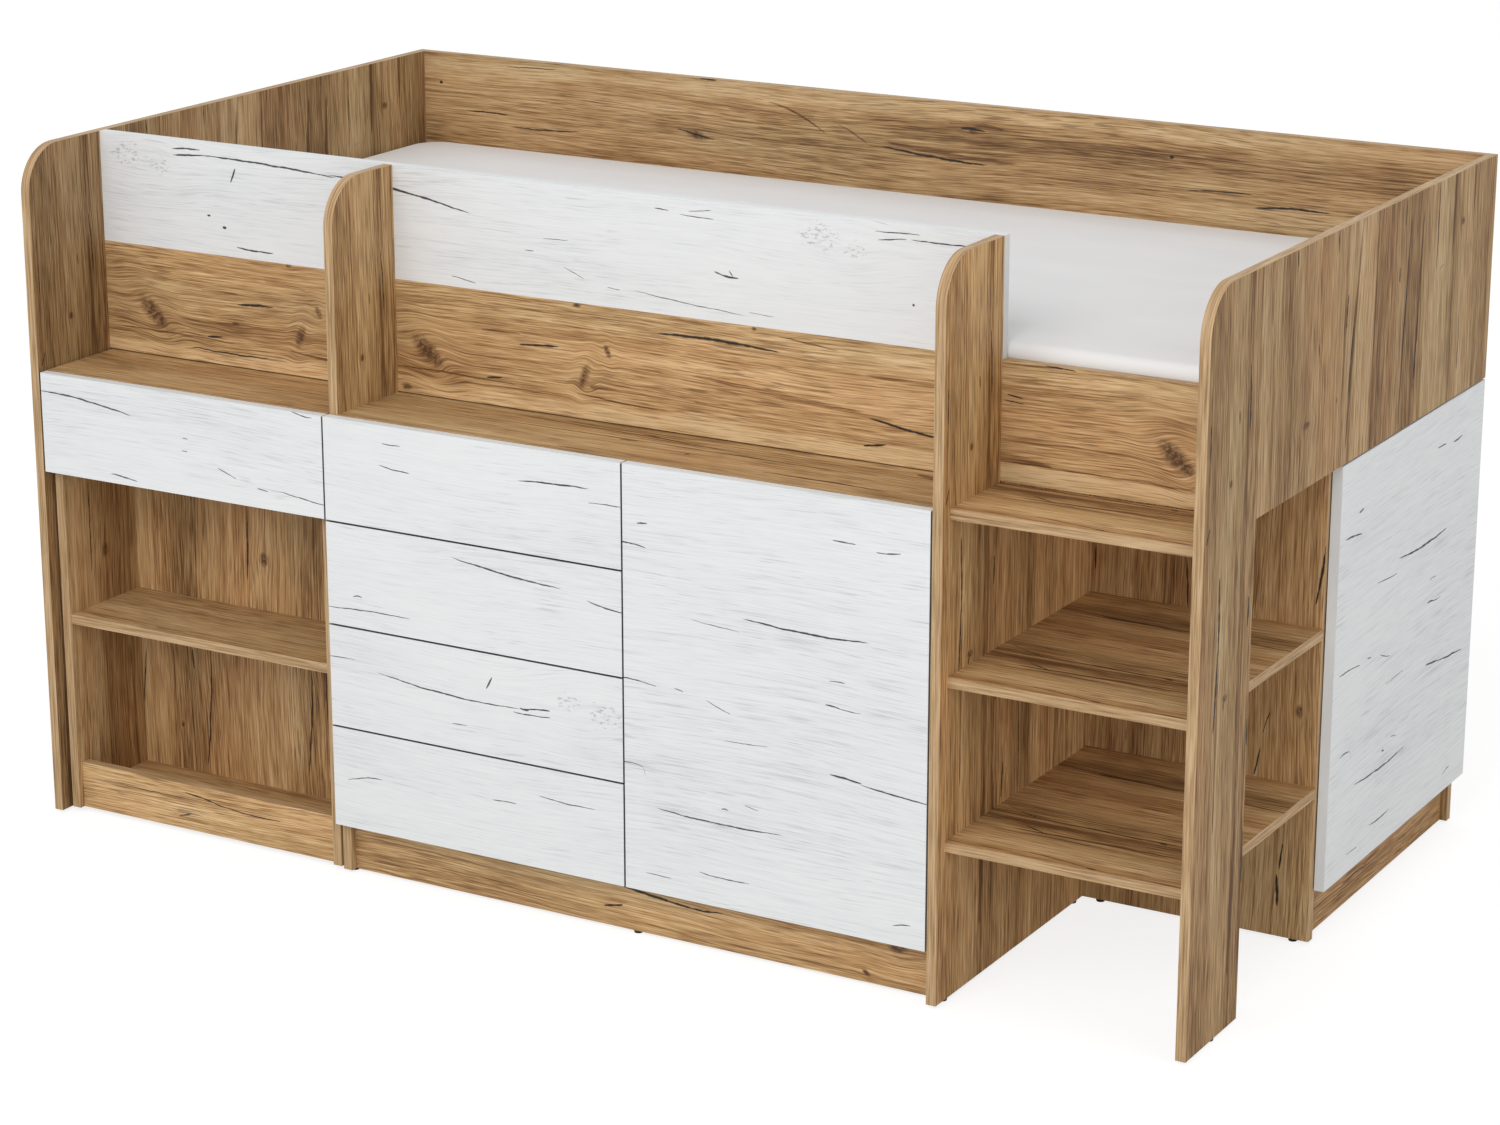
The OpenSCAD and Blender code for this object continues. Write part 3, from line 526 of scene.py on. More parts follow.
cracks = {
    "back_board": [
        (0.619, 0.993, 0.755, 0.997, 0.003, 0.0040),
        (0.500, 1.010, 0.621, 1.014, 0.002, 0.0026),
        (-0.916, 1.016, -0.823, 1.015, 0.001, 0.0032),
        (-0.066, 1.031, 0.140, 1.017, -0.003, 0.0044),
        (0.086, 1.075, 0.134, 1.073, 0.002, 0.0040),
        (-0.472, 1.024, -0.392, 1.010, 0.000, 0.0030),
        (-0.973, 1.063, -0.966, 1.063, 0.000, 0.0060),
        (0.470, 1.063, 0.478, 1.063, 0.000, 0.0060),
        (-0.425, 1.117, -0.390, 1.116, 0.000, 0.0050),
        (-0.823, 0.995, -0.669, 0.999, -0.002, 0.0026),
    ],
    "wardrobe_front_side": [
        (0.540, 0.632, 0.582, 0.632, 0.000, 0.0026),
        (0.249, 0.613, 0.306, 0.613, 0.000, 0.0016),
        (0.504, 0.786, 0.582, 0.782, 0.001, 0.0030),
        (0.538, 0.991, 0.638, 1.004, 0.001, 0.0044),
        (0.256, 0.903, 0.303, 0.913, 0.000, 0.0030),
        (0.325, 0.915, 0.362, 0.926, 0.000, 0.0022),
        (0.112, 0.951, 0.157, 0.954, 0.000, 0.0034),
        (0.052, 0.951, 0.106, 0.947, 0.000, 0.0054),
    ],
    "desk_back": [
        (0.389, -0.754, 0.525, -0.749, 0.001, 0.0036),
        (0.217, -0.872, 0.254, -0.875, 0.000, 0.0028),
        (0.046, -0.852, 0.243, -0.836, 0.003, 0.0034),
        (0.071, -0.642, 0.256, -0.629, 0.003, 0.0036),
        (0.040, -0.987, 0.245, -0.971, -0.003, 0.0032),
    ],
    "desk_left_side": [(0.396, -0.482, 0.560, -0.481, 0.001, 0.0022)],
    "desk_plinth": [
        (-0.771, 0.072, -0.681, 0.059, 0.001, 0.0028),
        (-0.688, 0.060, -0.573, 0.057, -0.002, 0.0022),
        (-0.783, 0.027, -0.756, 0.037, 0.000, 0.0032),
    ],
    "chest_plinth": [
        (0.048, 0.078, 0.200, 0.061, -0.002, 0.0048),
        (0.180, 0.061, 0.250, 0.064, -0.001, 0.0036),
        (0.036, 0.035, 0.072, 0.042, 0.000, 0.0048),
    ],
    "steps": [
        (0.660, -0.163, 0.840, -0.177, 0.001, 0.0024),
        (0.665, -0.378, 0.720, -0.380, 0.000, 0.0020),
        (0.778, -0.383, 0.822, -0.386, 0.000, 0.0034),
        (0.822, -0.386, 0.872, -0.390, 0.000, 0.0020),
        (0.896, -0.388, 0.910, -0.390, 0.000, 0.0044),
        (0.698, -0.420, 0.742, -0.438, 0.001, 0.0034),
        (0.637, -0.354, 0.710, -0.389, 0.000, 0.0018),
        (0.845, -0.527, 0.862, -0.531, 0.000, 0.0030),
    ],
    "chest_top": [
        (0.001, -0.370, 0.030, -0.367, 0.000, 0.0036),
        (0.022, -0.448, 0.054, -0.445, 0.000, 0.0046),
        (0.036, -0.405, 0.132, -0.420, -0.001, 0.0040),
        (0.118, -0.420, 0.224, -0.424, 0.000, 0.0026),
        (0.392, -0.499, 0.452, -0.501, 0.000, 0.0034),
        (0.150, -0.472, 0.160, -0.470, 0.000, 0.0060),
        (-0.190, -0.544, -0.160, -0.544, 0.000, 0.0040),
    ],
    "guard_board": [
        (-0.858, 1.091, -0.796, 1.097, 0.0, 0.0030),
        (-0.812, 1.096, -0.530, 1.085, 0.003, 0.0030),
        (-0.560, 1.089, -0.280, 1.053, 0.007, 0.0037),
        (-0.860, 1.101, -0.800, 1.105, 0.001, 0.0027),
        (-0.744, 1.058, -0.733, 1.081, 0.0, 0.0085),
        (-0.738, 0.954, -0.662, 0.951, -0.001, 0.0029),
        (0.044, 1.098, 0.070, 1.096, 0.0, 0.0017),
        (0.087, 1.092, 0.149, 1.090, 0.0, 0.0013),
        (0.103, 1.098, 0.144, 1.103, 0.0, 0.0012),
        (0.415, 1.101, 0.492, 1.104, 0.0, 0.0016),
        (0.420, 1.089, 0.470, 1.095, 0.0, 0.0018),
        (0.472, 1.095, 0.600, 1.094, 0.0, 0.0022),
        (0.147, 1.012, 0.191, 1.007, -0.002, 0.0032),
        (0.173, 1.017, 0.180, 1.009, 0.0, 0.0024),
        (0.004, 0.969, 0.205, 0.951, -0.002, 0.0013),
        (0.206, 0.957, 0.252, 0.956, 0.0, 0.0009),
        (-0.118, 0.990, -0.080, 0.976, 0.0, 0.0010),
        (-0.040, 0.967, -0.016, 0.965, 0.0, 0.0011),
        (-0.324, 0.954, -0.276, 0.946, 0.0, 0.0013),
        (-0.155, 1.030, -0.106, 1.033, 0.0, 0.0009),
        (-0.187, 1.009, -0.170, 1.009, 0.0, 0.0011),
        (-0.793, 1.000, -0.786, 1.000, 0.0, 0.0041),
        (-0.763, 0.984, -0.755, 0.983, 0.0, 0.0044),
        (0.479, 0.999, 0.483, 0.999, 0.0, 0.0041),
    ],
    "desk_drawer_front": [
        (-1.01, 0.724, -0.815, 0.704, 0.005, 0.0027),
        (-0.506, 0.755, -0.464, 0.749, -0.002, 0.0018),
        (-0.719, 0.683, -0.708, 0.682, 0.0, 0.0016),
        (-0.722, 0.662, -0.710, 0.662, 0.0, 0.0016),
        (-0.653, 0.643, -0.614, 0.630, 0.0, 0.0017),
        (-0.576, 0.621, -0.554, 0.618, 0.0, 0.0017),
        (-0.532, 0.622, -0.440, 0.612, -0.001, 0.0017),
        (-0.868, 0.604, -0.812, 0.599, 0.001, 0.0023),
    ],
    "drawer_front_1": [
        (-0.421, 0.165, -0.350, 0.177, 0.004, 0.0016),
        (-0.062, 0.205, 0.044, 0.201, -0.001, 0.0017),
        (-0.146, 0.184, -0.100, 0.185, 0.0, 0.0016),
    ],
    "drawer_front_2": [
        (-0.362, 0.356, -0.085, 0.341, -0.008, 0.0024),
        (-0.092, 0.342, -0.074, 0.341, -0.001, 0.0039),
        (-0.078, 0.341, -0.036, 0.346, 0.001, 0.0028),
        (-0.106, 0.334, -0.034, 0.336, -0.002, 0.0020),
        (-0.153, 0.362, -0.141, 0.383, 0.0, 0.0068),
        (-0.46, 0.367, -0.396, 0.369, 0.0, 0.0012),
        (-0.218, 0.295, -0.188, 0.296, 0.0, 0.0012),
    ],
    "drawer_front_3": [
        (-0.216, 0.564, -0.010, 0.543, -0.003, 0.0028),
        (0.030, 0.533, 0.100, 0.523, -0.003, 0.0021),
        (-0.46, 0.449, -0.286, 0.453, 0.0005, 0.0017),
        (-0.398, 0.471, -0.380, 0.472, 0.002, 0.0017),
    ],
    "drawer_front_4": [
        (-0.336, 0.726, -0.300, 0.725, 0.0, 0.0016),
        (-0.343, 0.691, -0.283, 0.685, -0.001, 0.0021),
        (-0.090, 0.701, 0.040, 0.706, 0.002, 0.0027),
        (0.035, 0.685, 0.095, 0.686, 0.0, 0.0016),
    ],
    "cupboard_door": movedLines(doorCracks, 0.095, 0.087, 1.7),
    "wardrobe_door": movedLines(doorCracks, 0.000, 0.087, 2.1),
    "front_rail": [
        (0.042, 0.906, 0.265, 0.902, 0.004, 0.0050),
        (-0.742, 0.859, -0.666, 0.864, 0.001, 0.0046),
        (-0.202, 0.859, -0.126, 0.864, 0.001, 0.0044),
        (0.408, 0.823, 0.530, 0.806, -0.001, 0.0042),
        (0.400, 0.780, 0.440, 0.786, 0.0, 0.0044),
        (-0.262, 0.800, -0.232, 0.803, 0.0, 0.0038),
        (-0.803, 0.800, -0.770, 0.803, 0.0, 0.0038),
        (0.633, 0.887, 0.660, 0.884, 0.0, 0.0022),
        (0.628, 0.878, 0.662, 0.876, 0.0, 0.0018),
        (0.692, 0.936, 0.742, 0.934, 0.0, 0.0026),
    ],
}

# a band is a crack's six numbers, its width soft, and how much lighter or darker it is
railBands = [
    (-0.145, 0.904, -0.060, 0.899, 0.000, 0.009, -0.24),
    (-0.272, 0.875, -0.195, 0.875, 0.002, 0.008, -0.24),
    (-0.100, 0.797, 0.050, 0.788, -0.002, 0.004, -0.55),
    (-0.440, 0.798, -0.200, 0.794, 0.002, 0.004, -0.44),
]
sideBands = [
    (-1.000, -0.476, 3.000, -0.470, 0.000, 0.062, 0.20),
    (-1.000, -0.420, 3.000, -0.414, 0.000, 0.024, -0.26),
    (-1.000, -0.350, 3.000, -0.346, 0.000, 0.050, 0.12),
    (-1.000, -0.284, 3.000, -0.280, 0.000, 0.074, -0.20),
    (-1.000, -0.066, 3.000, -0.070, 0.000, 0.012, -0.26),
    (-1.000, 0.000, 3.000, 0.010, 0.000, 0.090, 0.20),
    (-1.000, 0.062, 3.000, 0.040, 0.000, 0.008, -0.30),
    (-1.000, 0.130, 3.000, 0.126, 0.000, 0.060, 0.08),
    (-1.000, 0.206, 3.000, 0.204, 0.000, 0.080, -0.26),
    (-1.000, 0.380, 3.000, 0.384, 0.000, 0.034, -0.24),
    (-1.000, 0.430, 3.000, 0.428, 0.000, 0.050, 0.18),
    (-1.000, 0.534, 3.000, 0.530, 0.000, 0.050, -0.20),
    (0.770, -0.047, 1.110, -0.014, -0.002, 0.012, -0.50),
    (0.760, 0.167, 1.090, 0.186, 0.000, 0.009, -0.60),
    (0.800, 0.224, 1.090, 0.240, 0.000, 0.010, -0.50),
    (0.990, 0.372, 1.160, 0.376, 0.000, 0.010, -0.50),
    (1.040, 0.461, 1.160, 0.461, 0.000, 0.008, -0.50),
    (-1.000, -0.386, 3.000, -0.384, 0.000, 0.006, -0.30),
    (0.320, -0.492, 0.560, -0.494, 0.000, 0.010, -0.44),
    (0.080, -0.420, 0.330, -0.412, 0.000, 0.016, -0.36),
]
bands = {
    "front_rail": [
        *railBands,
        *movedLines(railBands, -0.541),  # the print starts anew
        (-1.400, 0.768, 1.400, 0.772, 0.000, 0.040, 0.35),
        (0.100, 0.850, 0.460, 0.822, 0.000, 0.014, -0.40),
        (0.255, 0.927, 0.360, 0.917, 0.000, 0.004, -0.55),
        (0.400, 0.887, 0.620, 0.877, 0.000, 0.012, -0.31),
        (0.560, 0.788, 0.990, 0.781, 0.002, 0.005, -0.40),
        (0.590, 0.797, 0.710, 0.788, 0.002, 0.014, -0.30),
        (0.600, 0.918, 0.990, 0.920, 0.000, 0.030, 0.20),
    ],
    "chest_top": [
        (-0.200, -0.402, 0.170, -0.418, 0.000, 0.007, -0.55),
        (0.030, -0.421, 0.200, -0.426, 0.000, 0.004, -0.66),
        (0.100, -0.400, 0.700, -0.376, 0.000, 0.026, 0.31),
        (0.290, -0.501, 0.515, -0.506, 0.003, 0.007, -0.70),
        (-0.300, -0.446, 0.460, -0.444, 0.004, 0.006, -0.60),
        (-0.040, -0.527, 0.030, -0.526, 0.000, 0.005, -0.60),
        (0.500, -0.400, 0.570, -0.420, 0.000, 0.022, -0.55),
        (-0.440, -0.515, 0.100, -0.520, 0.000, 0.030, 0.22),
    ],
    "steps": [
        # the wide dark band at the back of the steps is painted shade
        (0.400, -0.145, 1.300, -0.155, 0.000, 0.080, -0.36),
        (0.580, -0.155, 1.200, -0.195, 0.000, 0.006, -0.90),
        (0.400, -0.290, 1.300, -0.300, 0.000, 0.120, 0.22),
        (0.600, -0.383, 0.960, -0.388, 0.000, 0.005, -0.88),
        (0.680, -0.437, 0.970, -0.433, 0.002, 0.008, -0.77),
        (0.400, -0.410, 1.300, -0.412, 0.000, 0.045, -0.26),
        (0.400, -0.495, 1.300, -0.495, 0.000, 0.075, 0.22),
        (0.745, -0.512, 0.880, -0.532, 0.000, 0.004, -0.66),
    ],
    "back_board": [
        (-1.500, 1.100, 1.500, 1.104, 0.000, 0.036, 0.26),
        (-0.100, 1.060, 1.200, 1.050, 0.000, 0.050, -0.26),
        (0.100, 0.985, 1.500, 0.975, 0.000, 0.040, 0.22),
        (-0.290, 1.088, -0.170, 1.040, 0.008, 0.006, -0.50),
        (-0.150, 1.060, -0.090, 1.030, 0.004, 0.005, -0.40),
        (-0.060, 1.040, 0.200, 1.024, -0.004, 0.012, -0.30),
        (0.060, 1.082, 0.170, 1.078, 0.004, 0.010, -0.30),
    ],
}

# a spot is (along, across, radius along, radius across, tilt), in metres
spots = {
    "guard_board": [
        (-0.950, 1.084, 0.074, 0.040, 0.0),
        (-0.885, 1.070, 0.046, 0.028, 0.0),
        (0.325, 1.084, 0.074, 0.042, 0.0),
        (0.385, 1.070, 0.036, 0.024, 0.0),
    ],
    "drawer_front_2": [(0.062, 0.354, 0.064, 0.042, 0.0), (-0.005, 0.366, 0.046, 0.030, 0.0)],
    "chest_plinth": [(0.546, 0.072, 0.022, 0.016, 0.0), (0.494, 0.020, 0.010, 0.006, -0.4)],
    "back_board": [(-0.430, 1.016, 0.030, 0.010, -0.15), (0.110, 1.072, 0.012, 0.006, 0.0)],
    "desk_back": [(0.432, -0.718, 0.016, 0.012, 0.0), (0.116, -0.901, 0.008, 0.005, 0.0)],
    "desk_left_side": [(0.432, -0.445, 0.016, 0.010, 0.0)],
    "wardrobe_front_side": [(0.370, 0.973, 0.014, 0.008, 0.0)],
    "front_rail": [
        (-0.372, 0.829, 0.036, 0.024, -0.60),
        (-0.911, 0.829, 0.036, 0.024, -0.60),
        (0.897, 0.829, 0.036, 0.024, -0.62),
        (-0.356, 0.817, 0.018, 0.016, -0.4),
        (-0.895, 0.817, 0.018, 0.016, -0.4),
        (0.913, 0.816, 0.018, 0.016, -0.4),
        (-0.082, 0.824, 0.013, 0.020, 1.0),
        (-0.616, 0.822, 0.013, 0.020, 1.0),
        (-0.040, 0.867, 0.009, 0.011, -0.8),
        (-0.579, 0.865, 0.009, 0.011, -0.8),
        (-0.635, 0.935, 0.008, 0.005, 0.0),
        (-0.412, 0.766, 0.012, 0.007, 0.0),
        (-0.094, 0.934, 0.010, 0.004, 0.0),
        (0.216, 0.933, 0.007, 0.004, 0.0),
    ],
}

# how wide the cracks of the common print are on each of its boards
sideWidths = {"left_end_panel": 0.5, "front_divider": 0.5, "ladder_divider": 0.75, "right_end_panel": 1.0}
for node, wider in sideWidths.items():
    cracks[node] = movedLines(sideCracks, wider=wider)
    bands[node] = sideBands
    spots[node] = sideKnots

# finish, axes, place of its pattern and tone of each board; a white board's tone is its edges' alone, mostly
# painted shade that darkens them in the gaps between the fronts
# an oak board's tone is partly its own and partly painted light and shade: it lightens the ladder divider and
# the plinths and darkens the left end panel, standing in for more or less light on them
boards = {
    "left_end_panel": ("oak", upFacingSide, (0.13, 0.31, 0.0), 0.79),
    "right_end_panel": ("oak", upFacingSide, (0.13, 0.31, 0.0), 0.88),
    "front_divider": ("oak", upFacingSide, (0.13, 0.31, 0.0), 1.12),
    "ladder_divider": ("oak", upFacingSide, (0.13, 0.31, 0.0), 1.42),
    "front_rail": ("oak", levelFront, (0.0, 4.20, 0.0), 1.10),
    "guard_board": ("white", levelFront, (0.0, 0.0, 0.0), 1.0),
    "back_board": ("oak", levelFront, (6.10, 5.30, 0.0), 0.91),
    "steps": ("oak", levelFlat, (7.20, 6.40, 0.0), 1.15),
    "chest_top": ("oak", levelFlat, (8.10, 7.20, 0.0), 0.95),
    "chest_left_side": ("oak", upFacingSide, (9.20, 8.30, 0.0), 1.0),
    "chest_partition": ("oak", upFacingSide, (1.20, 9.10, 0.0), 1.0),
    "chest_bottom": ("oak", levelFlat, (2.60, 10.2, 0.0), 1.0),
    "chest_plinth": ("oak", levelFront, (3.40, 11.3, 0.0), 1.15),
    "cupboard_shelf": ("oak", levelFlat, (4.60, 12.1, 0.0), 1.0),
    # the low tones of the white fronts are painted shade on their edges, in the gaps between them
    "cupboard_door": ("white", levelFront, (0.0, 0.0, 0.0), 0.42),
    "drawer_front_1": ("white", levelFront, (0.0, 0.0, 0.0), 0.26),
    "drawer_front_2": ("white", levelFront, (0.0, 0.0, 0.0), 0.26),
    "drawer_front_3": ("white", levelFront, (0.0, 0.0, 0.0), 0.26),
    "drawer_front_4": ("white", levelFront, (0.0, 0.0, 0.0), 0.26),
    "wardrobe_front_side": ("oak", upFacingFront, (5.20, 13.3, 0.0), 1.15),
    "wardrobe_rear_side": ("oak", upFacingFront, (6.70, 14.2, 0.0), 1.0),
    "wardrobe_top": ("oak", crossFlat, (7.40, 15.1, 0.0), 1.0),
    "wardrobe_bottom": ("oak", crossFlat, (8.60, 16.3, 0.0), 1.0),
    "wardrobe_plinth": ("oak", levelEnd, (9.10, 17.2, 0.0), 1.10),
    "wardrobe_shelf": ("oak", crossFlat, (1.90, 18.4, 0.0), 1.0),
    "wardrobe_door": ("white", levelEnd, (0.0, 0.0, 0.0), 1.06),
    "desk_top": ("oak", levelFlat, (2.30, 19.2, 0.0), 1.02),
    "desk_left_side": ("oak", upFacingSide, (3.80, 20.1, 0.0), 1.0),
    "desk_right_side": ("oak", upFacingSide, (4.20, 21.3, 0.0), 1.0),
    "desk_shelf": ("oak", levelFlat, (5.90, 22.2, 0.0), 1.0),
    "desk_floor": ("oak", levelFlat, (6.20, 23.4, 0.0), 1.0),
    "desk_back": ("oak", upFacingFront, (7.70, 24.1, 0.0), 1.08),
    "desk_plinth": ("oak", levelFront, (8.30, 25.2, 0.0), 1.20),
    "desk_leg_frame": ("oak", upFacingFront, (9.60, 26.3, 0.0), 1.0),
    "desk_drawer_front": ("white", levelFront, (0.0, 0.0, 0.0), 0.34),
}

boardLook = {
    "openHeight": 0.7525,  # above it a white board's edge lies open and keeps its full colour; below it the edge is darkened as painted shade
    "edgeFacing": 0.5,
    "uprightPlanks": 1.0,
    "levelPlanks": 0.35,
    "specular": 0.35,
    "bump": {"Strength": 0.12, "Distance": 0.0006},
}


def wear(node, material):
    thing = nodes[node]
    if not thing.material_slots:
        thing.data.materials.append(material)
    for holder in thing.material_slots:
        holder.material = material


def lineMask(tree, place, a, b, c, d, bend, width):
    feeds = {
        "Place": place,
        "Middle": ((a + c) / 2, (b + d) / 2, 0.0),
        "Half": abs(c - a) / 2,
        "Slope": (d - b) / (c - a),
        "Bend": bend,
        "Width": width / 2,
    }
    return useGroup(tree, crackMark, feeds)["Mask"]


def markMasks(tree, place, node, look):
    along, across = split(tree, place)[:2]
    ragged = stretched(tree, (along, across), *look["ragged"])
    shifted = addScaled(tree, across, ragged, look["raggedness"])
    rough = join(tree, along, shifted, patchy(tree, (along, across), **look["strength"]))
    soft = join(tree, along, shifted, 1.0)
    crack, band, core, push = 0.0, 0.0, 0.0, 0.0
    for line in cracks.get(node, []):
        crack = calc(tree, "MAXIMUM", crack, lineMask(tree, rough, *line))
    for *line, change in bands.get(node, []):
        band = calc(tree, "MULTIPLY_ADD", lineMask(tree, soft, *line), change, band)
    for a, b, wide, tall, tilt in spots.get(node, []):
        feeds = {"Place": rough, "Middle": (a, b, 0.0), "Radii": (wide, tall, 1.0), "Tilt": tilt}
        spot = useGroup(tree, spotMark, feeds)
        core = calc(tree, "MAXIMUM", core, spot["Core"])
        push = calc(tree, "ADD", push, spot["Push"])
    return crack, band, core, push


def paintBoard(node, finish, axes, shift, tone):
    material, tree, shader = newMaterial(node + "Finish")
    where = addNode(tree, "ShaderNodeTexCoord").outputs
    order = ["XYZ".index(letter) for letter in axes]
    here = split(tree, where["Object"])
    place = join(tree, *[here[i] for i in order])
    pattern = addNode(tree, "ShaderNodeVectorMath", {0: place, 1: shift}, operation="ADD").outputs[0]
    facing = calc(tree, "ABSOLUTE", split(tree, where["Normal"])[order[2]])
    crack, band, core, push = markMasks(tree, place, node, markLook)
    feeds = {"Place": pattern, "Cracks": crack, "Push": push}
    feeds["Edge"] = calc(tree, "LESS_THAN", facing, boardLook["edgeFacing"])
    if finish == "oak":
        planks = boardLook["uprightPlanks"] if axes[0] == "Z" else boardLook["levelPlanks"]
        feeds.update({"ToneAndShade": tone, "Knots": core, "Bands": band, "Planks": planks})
    else:
        # edges of white fronts below the open height are darkened as painted shade in the gaps between them
        lying = calc(tree, "GREATER_THAN", here[2], boardLook["openHeight"])
        feeds.update({"ToneAndShade": calc(tree, "MULTIPLY_ADD", lying, 1.0 - tone, tone), "Specks": core})
    made = useGroup(tree, grains[finish], feeds)
    tree.links.new(made["Colour"], shader.inputs["Base Color"])
    tree.links.new(made["Roughness"], shader.inputs["Roughness"])
    shader.inputs["Specular IOR Level"].default_value = boardLook["specular"]
    addBump(tree, shader, made["Height"], boardLook["bump"])
    wear(node, material)


for node, values in boards.items():
    paintBoard(node, *values)
print("boards painted:", len(boards))


# small parts
smallFinishes = {
    "boxBoard": {
        "colour": (0.640, 0.630, 0.600), "other": (0.560, 0.545, 0.510), "scale": 500.0,
        "roughness": 0.6, "metal": 0.0,
        "nodes": ["drawer_box_1", "drawer_box_2", "drawer_box_3", "drawer_box_4", "desk_drawer_box"],
    },
    "hardBoard": {
        "colour": (0.600, 0.580, 0.530), "other": (0.480, 0.450, 0.400), "scale": 320.0,
        "roughness": 0.75, "metal": 0.0, "nodes": ["chest_back", "wardrobe_back"],
    },
    "zincSteel": {
        "colour": (0.560, 0.570, 0.580), "other": (0.420, 0.430, 0.450), "scale": 90.0,
        "roughness": 0.34, "metal": 1.0,
        "nodes": [
            "shelf_pins", "cupboard_hinge_cups", "wardrobe_hinge_cups", "hinge_arms", "chest_runners",
            "drawer_slides_1", "drawer_slides_2", "drawer_slides_3", "drawer_slides_4", "desk_runners",
            "desk_drawer_slides", "castor_brackets",
        ],
    },
    "blackPlastic": {
        "colour": (0.016, 0.016, 0.018), "other": (0.028, 0.028, 0.030), "scale": 700.0,
        "roughness": 0.45, "metal": 0.0, "nodes": ["floor_feet"],
    },
    "greyRubber": {
        "colour": (0.085, 0.085, 0.090), "other": (0.110, 0.110, 0.115), "scale": 400.0,
        "roughness": 0.7, "metal": 0.0, "nodes": ["front_castor_wheels", "rear_castor_wheels"],
    },
}

smallLook = {"detail": 3.0, "toneStops": (0.35, 0.65), "roughStops": (0.3, 0.7), "roughChange": 0.06}

for name, look in smallFinishes.items():
    material, tree, shader = newMaterial(name)
    here = addNode(tree, "ShaderNodeTexCoord").outputs["Object"]
    grain = stretched(tree, split(tree, here), (look["scale"],) * 3, smallLook["detail"])
    colour = ramp(tree, grain, list(zip(smallLook["toneStops"], (look["other"], look["colour"]))))
    tree.links.new(colour, shader.inputs["Base Color"])
    low, high = look["roughness"] - smallLook["roughChange"], look["roughness"] + smallLook["roughChange"]
    roughness = remap(tree, grain, *smallLook["roughStops"], low, high)
    tree.links.new(roughness, shader.inputs["Roughness"])
    shader.inputs["Metallic"].default_value = look["metal"]
    for node in look["nodes"]:
        wear(node, material)

# the pine slats run across the bed and their ledgers along it
pineLook = {
    "tones": [(0.2, (0.560, 0.370, 0.180)), (0.5, (0.690, 0.500, 0.280)), (0.8, (0.760, 0.580, 0.350))],
    "scales": (2.5, 160.0, 60.0),
    "detail": 3.0,
    "roughness": (0.3, 0.7, 0.70, 0.58),
}

for node, axes in {"slat_ledgers": (0, 1, 2), "bed_slats": (1, 0, 2)}.items():
    material, tree, shader = newMaterial(node + "Finish")
    here = split(tree, addNode(tree, "ShaderNodeTexCoord").outputs["Object"])
    grain = stretched(tree, [here[i] for i in axes], pineLook["scales"], pineLook["detail"])
    tree.links.new(ramp(tree, grain, pineLook["tones"]), shader.inputs["Base Color"])
    tree.links.new(remap(tree, grain, *pineLook["roughness"]), shader.inputs["Roughness"])
    wear(node, material)
print("small parts painted")


# mattress
mattressLook = {
    "cornerRadius": 0.060,
    "cornerSteps": 10,
    "edgeRadius": 0.016,
    "edgeSteps": 4,
    "crown": 0.004,
    "crownRings": [(0.03, 0.4), (0.12, 0.35), (0.25, 0.25)],  # how far in, and part of the crown
    "cuts": 6,
    "near": 1e-4,
    "level": 1e-5,
    "rimReach": 0.96,
    "tones": [(0.3, (0.828, 0.824, 0.826)), (0.7, (0.862, 0.858, 0.860))],
    "foldScales": (4.0, 9.0, 4.0),
    "weaveScales": (900.0, 900.0, 900.0),
    "weaveDetail": 1.0,
    "roughness": (0.3, 0.7, 0.85, 0.95),
    "specular": 0.15,
    "bump": {"Strength": 0.15, "Distance": 0.0005},
}


def selectWhere(piece, kind, parts, wanted):
    bpy.ops.mesh.select_mode(type=kind)
    bpy.ops.mesh.select_all(action="DESELECT")
    bpy.ops.object.mode_set(mode="OBJECT")
    for part in getattr(piece.data, parts):
        part.select = wanted(part)
    bpy.ops.object.mode_set(mode="EDIT")


